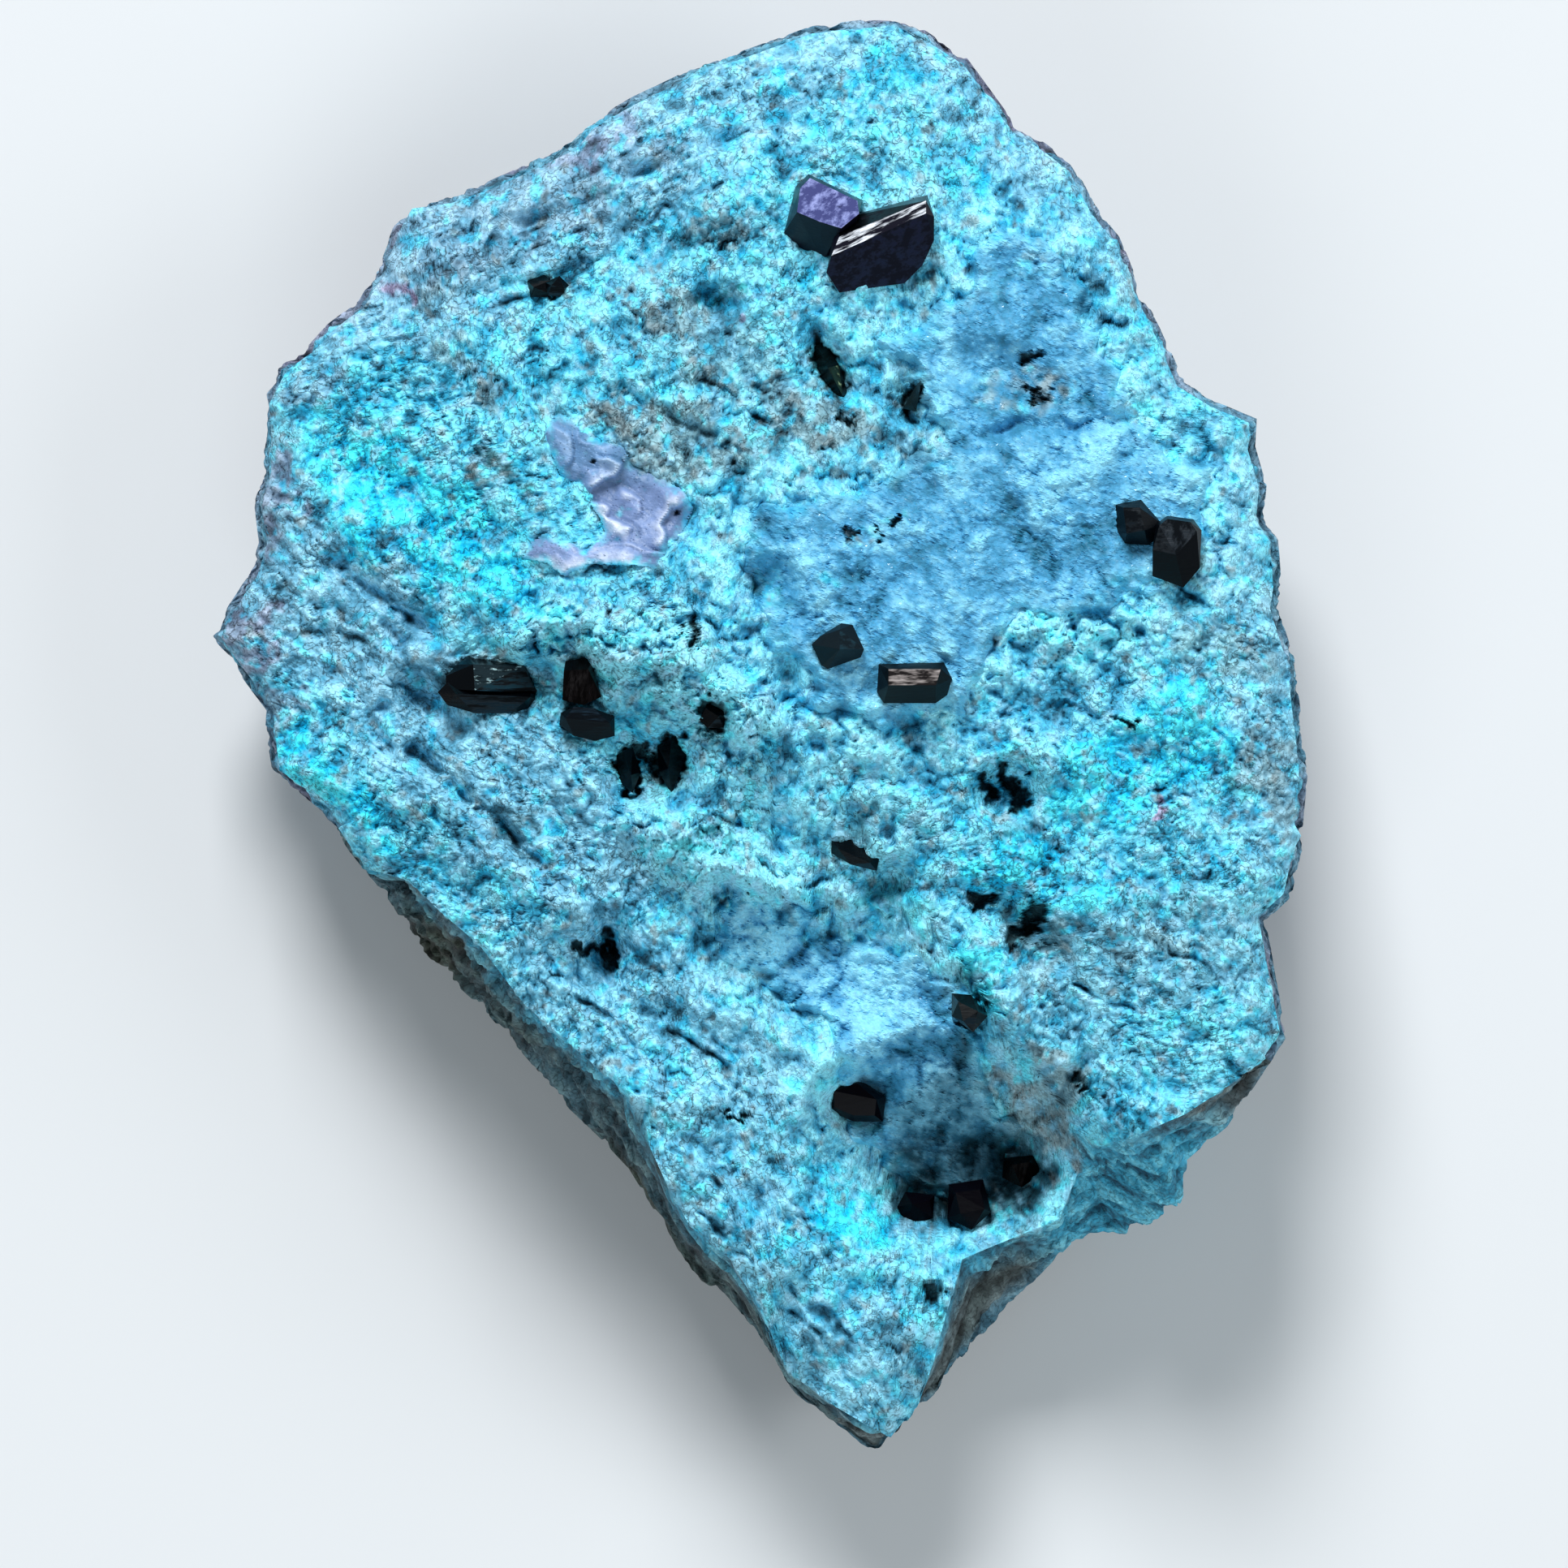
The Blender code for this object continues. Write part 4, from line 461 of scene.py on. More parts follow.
def domes(x, y, cell, seed):
    """Round lumps of unlike sizes, 0 in the gaps and 1 on the crests: strewn half balls, the highest one at each place."""
    i = np.floor(x / cell).astype(np.int64)
    j = np.floor(y / cell).astype(np.int64)
    best = np.zeros(np.shape(x))
    for di in (-1, 0, 1):
        for dj in (-1, 0, 1):
            a, b = i + di, j + dj
            size = 0.45 + 0.55 * hashed(a, b, seed + 2)
            px = (a + hashed(a, b, seed) - x / cell) / size
            py = (b + hashed(a, b, seed + 1) - y / cell) / size
            best = np.maximum(best, (0.4 + 0.6 * size) * np.sqrt(np.clip(1 - px * px - py * py, 0, 1)))
    return best


def cauliflower(x, y, cell, seed):
    """Lumps on lumps on lumps, about 0 to 1: domes at three sizes, each pushed about by noise."""
    total = 0.2 * rough_noise(x, y, cell, seed + 30, 2)
    for n, share in enumerate((0.50, 0.34, 0.16)):
        size = cell * 0.42**n
        px = x + 0.5 * size * slope_noise(x, y, 0.8 * size, seed + 5 * n)
        py = y + 0.5 * size * slope_noise(x, y, 0.8 * size, seed + 5 * n + 1)
        total = total + share * domes(px, py, size, seed + 5 * n + 2)
    return total


def path_offset(x, y, path):
    """Distance from a line of straight stretches, its side, 1 on the left, and a fade to 0 at the line's ends."""
    points = np.array(path)
    best = np.full(np.shape(x), 1e9)
    side = np.ones(np.shape(x))
    along = np.zeros(np.shape(x))
    stretches = len(points) - 1
    for n in range(stretches):
        (ax, ay), (bx, by) = points[n], points[n + 1]
        dx, dy = bx - ax, by - ay
        t = np.clip(((x - ax) * dx + (y - ay) * dy) / (dx * dx + dy * dy), 0, 1)
        px, py = x - ax - t * dx, y - ay - t * dy
        distance = np.hypot(px, py)
        nearer = distance < best
        best = np.where(nearer, distance, best)
        side = np.where(nearer, np.where(dx * py - dy * px >= 0, 1.0, -1.0), side)
        along = np.where(nearer, (n + t) / stretches, along)
    fade = np.clip(np.minimum(along, 1 - along) / 0.15, 0, 1)
    return best, side, fade


def ring_radius(points, angle):
    """How far a star-shaped ring of points lies from the centre in each direction, on its straight stretches."""
    p = np.array(points) - CENTRE
    turns = np.arctan2(p[:, 1], p[:, 0])
    order = np.argsort(turns)
    p = np.vstack((p[order], p[order][:1]))
    limits = np.append(turns[order], turns[order][0] + math.tau)
    turned = np.where(angle < limits[0], angle + math.tau, angle)
    n = np.clip(np.searchsorted(limits, turned, side="right") - 1, 0, len(limits) - 2)
    a, b = p[n], p[n + 1]
    ux, uy = np.cos(turned), np.sin(turned)
    across = (b[..., 0] - a[..., 0]) * uy - (b[..., 1] - a[..., 1]) * ux
    return (a[..., 1] * (b[..., 0] - a[..., 0]) - a[..., 0] * (b[..., 1] - a[..., 1])) / across


def turn_of(point):
    """The direction of a point from the centre."""
    return math.atan2(point[1] - CENTRE[1], point[0] - CENTRE[0])


def over_wall(angle):
    """True in the directions where the face ends over a broken wall."""
    return (angle <= turn_of(BROKEN_RIM[0])) & (angle >= turn_of(BROKEN_RIM[-1]))


def rim_radius(angle):
    """Distance from the centre to the rim of the face: inside the outline, and further in over the broken walls."""
    outline = ring_radius(OUTLINE, angle)
    broken = ring_radius(BROKEN_RIM, angle)
    return np.where(over_wall(angle), np.minimum(broken, outline - RIM_INSET / 2), outline - RIM_INSET)


def streaks(x, y, turn, length, width, seed):
    """Noise from -1 to 1 in long cells that lie along a direction, as the edges of layers do."""
    c, s = math.cos(math.radians(turn)), math.sin(math.radians(turn))
    return smooth_noise((x * c + y * s) / length, (y * c - x * s) / width, 1.0, seed)


def in_ellipse(x, y, cx, cy, half_length, half_width, turn=0):
    """Squared distance from the middle of a turned ellipse, 1 on the ellipse."""
    c, s = math.cos(math.radians(turn)), math.sin(math.radians(turn))
    u = ((x - cx) * c + (y - cy) * s) / half_length
    v = ((y - cy) * c - (x - cx) * s) / half_width
    return u * u + v * v


def surface_height(x, y):
    """Height of the rock's face: broad levels, lumps and hollows, crevices, ledges, roughness and a rounded rim."""
    weight = np.zeros(np.shape(x))
    height = np.zeros(np.shape(x))
    for lx, ly, level in LEVELS.values():
        w = np.exp(-((x - lx) ** 2 + (y - ly) ** 2) / (2 * LEVEL_REACH**2)) + 1e-9
        weight += w
        height += w * level
    height /= weight
    for lx, ly, half_length, half_width, turn, rise in LUMPS.values():
        inside_share = np.clip(1 - in_ellipse(x, y, lx, ly, half_length, half_width, turn) / 1.7, 0, 1)
        height += rise * inside_share**1.5
    for half_width, depth, path in CREVICES:
        distance, side, fade = path_offset(x, y, path)
        broken = np.clip(0.5 + 0.9 * slope_noise(x, y, 3.3, 31), 0, 1)
        height -= depth * broken * fade * np.exp(-((distance / half_width) ** 2))
    for rise, reach, path in LEDGES:
        distance, side, fade = path_offset(x, y, path)
        step = 0.5 + 0.5 * np.tanh(side * distance / 0.5)
        height += rise * fade * step * np.exp(-distance / reach)
    leftwards = np.clip((2.0 - x) / 8, 0, 1)
    upwards = np.clip((y - 16) / 8, 0, 1)
    upper = streaks(x, y, 26, 9.0, 2.6, 13) * upwards
    lower = streaks(x, y, -40, 8.0, 2.4, 14) * (1 - upwards)
    height += STREAK_RISE * leftwards * (upper + lower)
    height += 0.40 * smooth_noise(x, y, 4.3, 11) + 0.32 * smooth_noise(x, y, 1.9, 12)
    angle = np.arctan2(y - CENTRE[1], x - CENTRE[0])
    outwards = np.hypot(x - CENTRE[0], y - CENTRE[1]) / rim_radius(angle)
    rounding = np.clip((outwards - 1 + ROUNDED_SHARE) / ROUNDED_SHARE, 0, 1) ** 2
    on_wall = ring_radius(OUTLINE, angle) - rim_radius(angle) > 2 * RIM_INSET
    return height - np.where(on_wall, BROKEN_RIM_ROUNDING, RIM_ROUNDING) * rounding


def inside(x, y, border):
    """True for each point that lies inside a closed border, by counting the border's crossings."""
    crossings = np.zeros(np.shape(x), dtype=int)
    for (ax, ay), (bx, by) in zip(border, border[1:] + border[:1]):
        spans = (ay > y) != (by > y)
        with np.errstate(divide="ignore", invalid="ignore"):
            crossing = ax + (y - ay) * (bx - ax) / (by - ay)
        crossings += spans & (x < crossing)
    return crossings % 2 == 1


def depth_inside(x, y, border):
    """Distance in from a closed border, negative outside it."""
    distance = path_offset(x, y, border + border[:1])[0]
    return np.where(inside(x, y, border), distance, -distance)


def near_patches(x, y, names, sharpness=1.7):
    """Share from 0 to 1 of the face's patches of some tones."""
    share = np.zeros(np.shape(x))
    for name, strength, cx, cy, half_length, half_width, turn in PATCHES:
        if name in names:
            near = np.clip((1.4 - in_ellipse(x, y, cx, cy, half_length, half_width, turn)) * sharpness, 0, 1)
            share = np.maximum(share, strength * near)
    return share


def druse_depth(x, y):
    """Distance in from the borders of the druse, negative outside them."""
    return np.maximum(depth_inside(x, y, UPPER_DRUSE), depth_inside(x, y, HOLLOW_DRUSE))


def pit_share(x, y):
    """Share from 0 to 1 of the way to the bottom of a hole, and the depth there, with ragged borders."""
    wx = x + 0.52 * rough_noise(x, y, 1.0, 111, 3)
    wy = y + 0.52 * rough_noise(x, y, 1.0, 115, 3)
    share = np.zeros(np.shape(x))
    depth = np.zeros(np.shape(x))
    for cx, cy, half_length, half_width, turn, deep in PITS:
        near = np.clip((1.3 - in_ellipse(wx, wy, cx, cy, half_length, half_width, turn)) * 1.4, 0, 1)
        depth = np.maximum(depth, deep * near)
        share = np.maximum(share, near)
    return share, depth


def chips(x, y):
    """Share from 0 to 1 of the brown chips, flat-topped ellipses with rough borders, and of the painted shadow under
    them.
    """
    wx = x + 0.9 * rough_noise(x, y, 1.2, 181, 3)
    wy = y + 0.9 * rough_noise(x, y, 1.2, 182, 3)
    bare = np.clip(0.75 + 1.1 * rough_noise(x, y, 0.7, 183, 2), 0, 1)
    share, shade = np.zeros(np.shape(x)), np.zeros(np.shape(x))
    for cx, cy, half_length, half_width, turn in CHIPS:
        here = bare * np.clip((1.1 - in_ellipse(wx, wy, cx, cy, half_length, half_width, turn)) * 1.6, 0, 1)
        below = in_ellipse(wx, wy, cx, cy - 0.45, 1.1 * half_length, 1.2 * half_width, turn)
        share = np.maximum(share, here)
        shade = np.maximum(shade, bare * np.clip((1.1 - below) * 1.5, 0, 1))
    return share, shade * (1 - share)


def skin_relief(x, y):
    """Fine relief of the rock: height in mm, and a share from 0, gap, to 1, crest, that sets the colour from painted
    shade in the gaps to painted highlight on the crests.

    Crumbs are lumps on lumps, soft places have rounder ones, and bare rock has thin broken layers, stretched noise
    along the layering.
    """
    wx = x + 0.45 * slope_noise(x, y, 1.7, 41)
    wy = y + 0.45 * slope_noise(x, y, 1.7, 42)
    grit = rough_noise(x, y, 0.75, 43, 2)
    crumbs = 0.6 * billows(wx, wy, 1.8, 46, 3, 0.7) + 0.18 + 0.28 * rough_noise(wx, wy, 1.9, 51, 3, 0.65)
    puffs = cauliflower(x, y, 2.1, 56)
    upwards = np.clip((y - 16) / 6, 0, 1)
    layers = np.zeros(np.shape(x))
    splits = np.zeros(np.shape(x))
    for turn, here in ((25, upwards), (-41, 1 - upwards)):
        c, s = math.cos(math.radians(turn)), math.sin(math.radians(turn))
        u = wx * c + wy * s
        v = wy * c - wx * s
        edges = slope_noise(u / 3.2, v / 0.85, 1.0, 61) + 0.65 * slope_noise(u / 1.5, v / 0.40, 1.0, 62)
        edges = edges + 0.30 * slope_noise(u / 1.1, v / 0.32, 1.0, 63)
        layers += here * edges
        splits += here * np.exp(-((slope_noise(u / 3.4, v / 1.0, 1.0, 64) / 0.07) ** 2))
    splits = splits * np.clip(0.3 + 1.5 * slope_noise(x, y, 3.1, 66), 0, 1)
    soft = np.clip(np.maximum(near_patches(x, y, ("sky",)), 1 + druse_depth(x, y) / 2.5), 0, 1)
    bare = np.clip(near_patches(x, y, ("grey", "lilac")) + 0.35 * rough_noise(x, y, 2.2, 67, 2), 0, 1) * (1 - soft)
    broad = rough_noise(x, y, 5.0, 48, 2)
    knobs = cauliflower(x, y, 1.3, 156)
    crumbs = 0.6 * crumbs + 0.5 * (knobs - 0.1)
    height = (1.25 * (crumbs - 0.42) + 0.35 * broad) * (1 - soft) + (1.75 * (puffs - 0.50) + 0.3 * broad) * soft
    tone = 0.58 + (1.5 * (crumbs - 0.42) + 0.12 * broad) * (1 - soft) + (1.3 * (puffs - 0.50) + 0.15 * broad) * soft
    height = height * (1 - 0.6 * bare) + (0.26 * layers - 0.25 * splits) * bare + 0.11 * grit
    tone = (tone * (1 - bare) + (0.60 + 0.26 * layers - 0.4 * splits + 0.8 * (crumbs - 0.42)) * bare) + 0.16 * grit
    fade_in = np.clip(0.6 + 1.2 * slope_noise(x, y, 1.6, 167), 0, 1)
    # Splits: sunk, and darkened as painted shade
    for path in SPLITS:
        distance, side, fade = path_offset(wx, wy, path)
        near = fade * fade_in * np.exp(-((distance / 0.20) ** 2))
        height = height - 0.6 * near
        tone = tone - 0.7 * near
    # Gaps between the crumbs: sunk, and darkened as painted shade
    nearest, second, number = cells(x + 0.5 * slope_noise(x, y, 0.7, 171), y + 0.5 * slope_noise(x, y, 0.7, 172), 1.15, 173)
    gaps = np.clip(1 - (second - nearest) / 0.13, 0, 1) * np.clip(0.25 + 1.5 * slope_noise(x, y, 2.4, 176), 0, 1)
    gaps = gaps * (1 - 0.6 * soft)
    height = height - 0.22 * gaps
    tone = tone - 0.55 * gaps + 0.16 * (number - 0.5)
    # Fluffy places: raised, lighter as painted highlight on the crests, with painted shade in their gaps
    for cx, cy, half_length, half_width in FLUFF:
        near = np.clip(1.3 - in_ellipse(x, y, cx, cy, half_length, half_width), 0, 1)
        height = height + near * (1.6 * (puffs - 0.45) + 0.3)
        tone = tone + near * (0.20 + 0.6 * (puffs - 0.5))
    # Chips: raised, with painted shadow below them that lowers the tone
    chip, shade = chips(x, y)
    height = height * (1 - 0.4 * chip) + 0.20 * chip - 0.30 * shade
    tone = tone * (1 - 0.6 * chip) + 0.36 * chip - 0.5 * shade
    pit, depth = pit_share(x, y)
    return height * (1 - 0.5 * pit) - depth, tone


def skin_colour(x, y, tone):
    """Colour of each point: the patches laid over the granular skin, each from its gap to its crest colour."""
    palette = {name: np.array([linear(c) for c in colours]) for name, colours in TONES.items()}
    mix = np.tile(palette["granular"], (len(x), 1, 1))
    wx = x + 1.5 * rough_noise(x, y, 3.0, 71, 3)
    wy = y + 1.5 * rough_noise(x, y, 3.0, 75, 3)

    def lay(mix, name, share):
        share = np.clip(share, 0, 1)[:, None, None]
        return mix * (1 - share) + palette[name] * share

    mix = lay(mix, "sky", 1.0 + druse_depth(wx, wy) / 2.6)
    for name, strength, cx, cy, half_length, half_width, turn in PATCHES:
        near = np.clip((1.35 - in_ellipse(wx, wy, cx, cy, half_length, half_width, turn)) / 0.6, 0, 1)
        mix = lay(mix, name, strength * near)
    mottle = rough_noise(x, y, 1.1, 81, 3)
    mix = lay(mix, "grey", np.minimum(0.7, 1.5 * mottle - 0.15))
    mix = lay(mix, "cyan", np.minimum(0.6, 1.6 * rough_noise(x, y, 1.3, 85, 3) - 0.5))
    mix = lay(mix, "brown", np.minimum(0.7, 2.2 * rough_noise(x, y, 1.4, 91, 3) - 1.35))
    chip, shade = chips(x, y)
    # Painted shadow below the chips, laid in brown
    mix = lay(mix, "brown", 0.75 * chip + 0.4 * shade)
    # Painted shade in the holes, broken by lighter crumbs
    crumbs_in_pit = np.clip(1.8 * rough_noise(x, y, 0.8, 95, 2) - 0.1, 0, 1)
    mix = lay(mix, "dark", 0.95 * np.clip(2 * pit_share(x, y)[0] - 0.5 - crumbs_in_pit, 0, 1))
    return three_tones(mix, tone)


def crust_surface(x, y, border, seed):
    """A druse crust: its height over the rock's broad form, and its colour, lighter on its lumps and cones as painted
    highlight and darker between them as painted shade.

    The form is broad cushions with rounder lumps on them and pointed cones, one to a cell, and it sinks into the rock
    at a ragged border, where its colour becomes the rock's.
    """
    ragged = depth_inside(x, y, border) + 1.0 * rough_noise(x, y, 2.8, seed, 3) - 0.8
    edge = np.clip(ragged / 1.6, 0, 1)
    edge = edge * edge * (3 - 2 * edge)
    wx = x + 0.5 * slope_noise(x, y, 2.0, seed + 4)
    wy = y + 0.5 * slope_noise(x, y, 2.0, seed + 5)
    cushions = rough_noise(wx, wy, 4.6, seed + 6, 3, 0.5)
    puffs = cauliflower(x, y, 2.4, seed + 10)
    lumpy = np.clip(0.55 + 0.9 * rough_noise(x, y, 5.5, seed + 60, 2), 0.3, 1)
    if border is HOLLOW_DRUSE:
        lumpy = 0.6 + 0.9 * lumpy
    first, second, number = cells(x, y, 0.34, seed + 14)
    cones = (0.25 + 0.75 * number**2) * np.clip(1 - 1.2 * first, 0, 1)
    pit, depth = pit_share(x, y)
    body = 0.40 * cushions + 1.10 * (puffs - 0.5) * lumpy + 0.24 * cones
    height = (CRUST_GAP + CRUST_THICKNESS + body) * edge - 0.9 * (1 - edge) - depth
    tone = 0.46 + 0.30 * cushions + 0.95 * (puffs - 0.5) * lumpy + 0.40 * (cones - 0.25)
    tone = tone + 0.28 * rough_noise(x, y, 1.1, seed + 17, 3)
    # Painted light: the basin's druse made lighter
    tone = tone + 0.22 * np.clip(1.4 - in_ellipse(x, y, *BASIN_PAINTED_LIGHT), 0, 1)
    # Painted shade on the druse deep in the hollow
    deep = np.zeros(len(x))
    for strength, cx, cy, half_length, half_width in SHADED_DRUSE_PLACES:
        near = 1.6 + 1.2 * cushions - in_ellipse(wx, wy, cx, cy, half_length, half_width)
        deep = np.maximum(deep, strength * np.clip(near, 0, 1))
    relief, skin_tone = skin_relief(x, y)
    # The pale druse, its painted shade in the hollow, and painted shade in the holes
    pale, dim, dark = (np.array([linear(c) for c in tones]) for tones in (DRUSE_TONES, SHADED_DRUSE_TONES, TONES["dark"]))
    deep, pit_shade = deep[:, None, None], 0.9 * pit[:, None, None]
    mix = (pale * (1 - deep) + dim * deep) * (1 - pit_shade) + dark * pit_shade
    stained = near_patches(wx, wy, ("brown", "teal")) * np.clip(0.6 + 1.2 * rough_noise(x, y, 0.9, seed + 64, 2), 0, 1)
    own = (np.clip(ragged / 2.4, 0, 1) * (1 - stained))[:, None]
    return height, three_tones(mix, tone) * own + skin_colour(x, y, skin_tone) * (1 - own)


def three_tones(mix, tone):
    """Colour between the hollow, slope and crest colours of each point: darker towards the hollow colour as painted
    shade, lighter towards the crest colour as painted highlight.
    """
    t = np.clip(tone, 0, 1)[:, None]
    low = mix[:, 0] + (mix[:, 1] - mix[:, 0]) * np.clip(t * 2, 0, 1)
    return low + (mix[:, 2] - mix[:, 1]) * np.clip(t * 2 - 1, 0, 1)


def put_mesh(name, points, triangles, colour, cracks=0.0, smooth=True, normals=None):
    """A mesh object from points in mm and triangles, both as arrays.

    Each point has a colour, a share from 0 to 1 of painted shade in fine cracks, kept with the colour, and a normal if
    given.
    """
    mesh = bpy.data.meshes.new(name)
    mesh.vertices.add(len(points))
    mesh.vertices.foreach_set("co", (np.asarray(points) * MM).astype(np.float32).ravel())
    mesh.loops.add(3 * len(triangles))
    mesh.loops.foreach_set("vertex_index", np.asarray(triangles).astype(np.int32).ravel())
    mesh.polygons.add(len(triangles))
    mesh.polygons.foreach_set("loop_start", np.arange(0, 3 * len(triangles), 3, dtype=np.int32))
    mesh.polygons.foreach_set("use_smooth", np.full(len(triangles), smooth))
    mesh.update(calc_edges=True)
    mesh.validate()
    if normals is not None:
        mesh.normals_split_custom_set_from_vertices(normals)
    layer = mesh.color_attributes.new("tone", "FLOAT_COLOR", "POINT")
    tones = np.column_stack((colour, np.broadcast_to(cracks, len(colour)))).astype(np.float32)
    layer.data.foreach_set("color", tones.ravel())
    made = bpy.data.objects.new(name, mesh)
    bpy.context.scene.collection.objects.link(made)
    return made


def finish_piece(piece, finish, slot, *nodes):
    """Give a piece its material and let it ride on the specimen in place of the solids it stands for; the slot is not
    used.
    """
    piece.data.materials.append(finish)
    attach(piece, BODY)
    if nodes:
        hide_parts(*nodes)
    return piece


def disc_grid(count):
    """A square grid squeezed into a disc, ring by ring: x and y in the disc, and the border's points anticlockwise."""
    a, b = np.meshgrid(np.linspace(-1, 1, count), np.linspace(-1, 1, count))
    wide = np.abs(a) > np.abs(b)
    radius = np.where(wide, a, b)
    with np.errstate(divide="ignore", invalid="ignore"):
        angle = np.where(wide, math.pi / 4 * b / a, math.pi / 2 - math.pi / 4 * a / b)
    angle = np.where(radius == 0, 0, angle)
    index = np.arange(count * count).reshape(count, count)
    border = np.concatenate((index[0, :-1], index[:-1, -1], index[-1, :0:-1], index[:0:-1, 0]))
    return (radius * np.cos(angle)).ravel(), (radius * np.sin(angle)).ravel(), index, border


def corner_angles():
    """Directions of the solid wall's corners: those of the broken rim and the outline, with close ones left out."""
    kept = []
    for point in BROKEN_RIM + OUTLINE:
        turn = turn_of(point)
        if all(abs((turn - other + math.pi) % math.tau - math.pi) > math.radians(RING_TURN) for other in kept):
            kept.append(turn)
    return np.array(sorted(kept))


def wall_rings(angles):
    """Radius and height of the solid wall's rings at its corners: rim, broken steps, outline, under side, back."""
    rim = rim_radius(angles)
    outline = ring_radius(OUTLINE, angles)
    rim_height = surface_height(CENTRE[0] + rim * np.cos(angles), CENTRE[1] + rim * np.sin(angles))
    drop = np.clip(1.6 + 2.6 * (outline - rim), 0, 8.5)
    rings = [(rim, rim_height)]
    for n, (out, down) in enumerate(WALL_STEPS):
        row = np.full_like(angles, 0.9 * n)
        rough = WALL_ROUGHNESS * smooth_noise(angles * 7, row, 1.0, 21) * (outline - rim > 2 * RIM_INSET)
        rings.append((rim + out * (outline - rim), rim_height - down * drop + rough))
    edge_height = rings[-1][1]
    for n, (scale, height) in enumerate(UNDER_STEPS):
        row = np.full_like(angles, 0.9 * n)
        broad = 0.035 * smooth_noise(angles * 5, row, 1.0, 22) + 0.02 * smooth_noise(angles * 13, row, 1.0, 24)
        tilt = 0.10 * smooth_noise(angles * 6, row, 1.0, 23)
        rings.append((outline * np.minimum(scale + broad, 0.995), edge_height * (height + tilt)))
    rings.append((outline * BASE_SCALE, np.zeros_like(angles)))
    return np.array(rings)


def grid_normals(points, count):
    """Normals of a square grid of points, from the steps to its neighbours each way."""
    grid = points.reshape(count, count, 3)
    normals = np.cross(np.gradient(grid, axis=1), np.gradient(grid, axis=0)).reshape(-1, 3)
    return normals / np.maximum(np.linalg.norm(normals, axis=1), 1e-9)[:, None]


def grid_triangles(number):
    """Two triangles in each square of a grid of point numbers, split along the other diagonal in every other square."""
    a, b, c, d = (corner.ravel() for corner in (number[:-1, :-1], number[:-1, 1:], number[1:, 1:], number[1:, :-1]))
    even = np.indices(number[:-1, :-1].shape).sum(axis=0).ravel() % 2 == 0
    first = np.where(even[:, None], np.stack((a, b, c), axis=1), np.stack((a, b, d), axis=1))
    second = np.where(even[:, None], np.stack((a, c, d), axis=1), np.stack((b, c, d), axis=1))
    return np.vstack((first, second))


def make_face(finish):
    """The rock's face as four quarters of one disc grid, each point lifted by the broad form and the fine relief."""
    u, v, index, border = disc_grid(FACE_GRID)
    angle = np.arctan2(v, u)
    reach = np.hypot(u, v) * rim_radius(angle)
    x, y = CENTRE[0] + reach * np.cos(angle), CENTRE[1] + reach * np.sin(angle)
    relief, tone = skin_relief(x, y)
    under = np.clip(druse_depth(x, y) / 2 - 0.6, 0, 1)
    height = np.minimum(surface_height(x, y) + relief * (1 - 0.8 * under), TOP_LEVEL)
    points = np.stack((x, y, height), axis=1)
    colour = skin_colour(x, y, tone)
    # Share of painted shade in fine cracks, less over and near the druse
    cracks = np.clip(0.75 + 0.9 * rough_noise(x, y, 3.4, 95, 2), 0.1, 1) * (1 - 0.75 * np.clip(1 + druse_depth(x, y) / 3, 0, 1))
    normals = grid_normals(points, FACE_GRID)
    half = FACE_GRID // 2
    for side, columns in (("left", slice(0, half + 1)), ("right", slice(half, FACE_GRID))):
        for part, rows in (("lower", slice(0, half + 1)), ("upper", slice(half, FACE_GRID))):
            block = index[rows, columns]
            used = block.ravel()
            number = np.arange(len(used)).reshape(block.shape)
            name = f"rock_face_{part}_{side}"
            triangles = grid_triangles(number)
            quarter = put_mesh(name, points[used], triangles, colour[used], cracks[used], normals=normals[used])
            finish_piece(quarter, finish, "turquoise_rock", "matrix")
    return angle[border], points[border], colour[border]


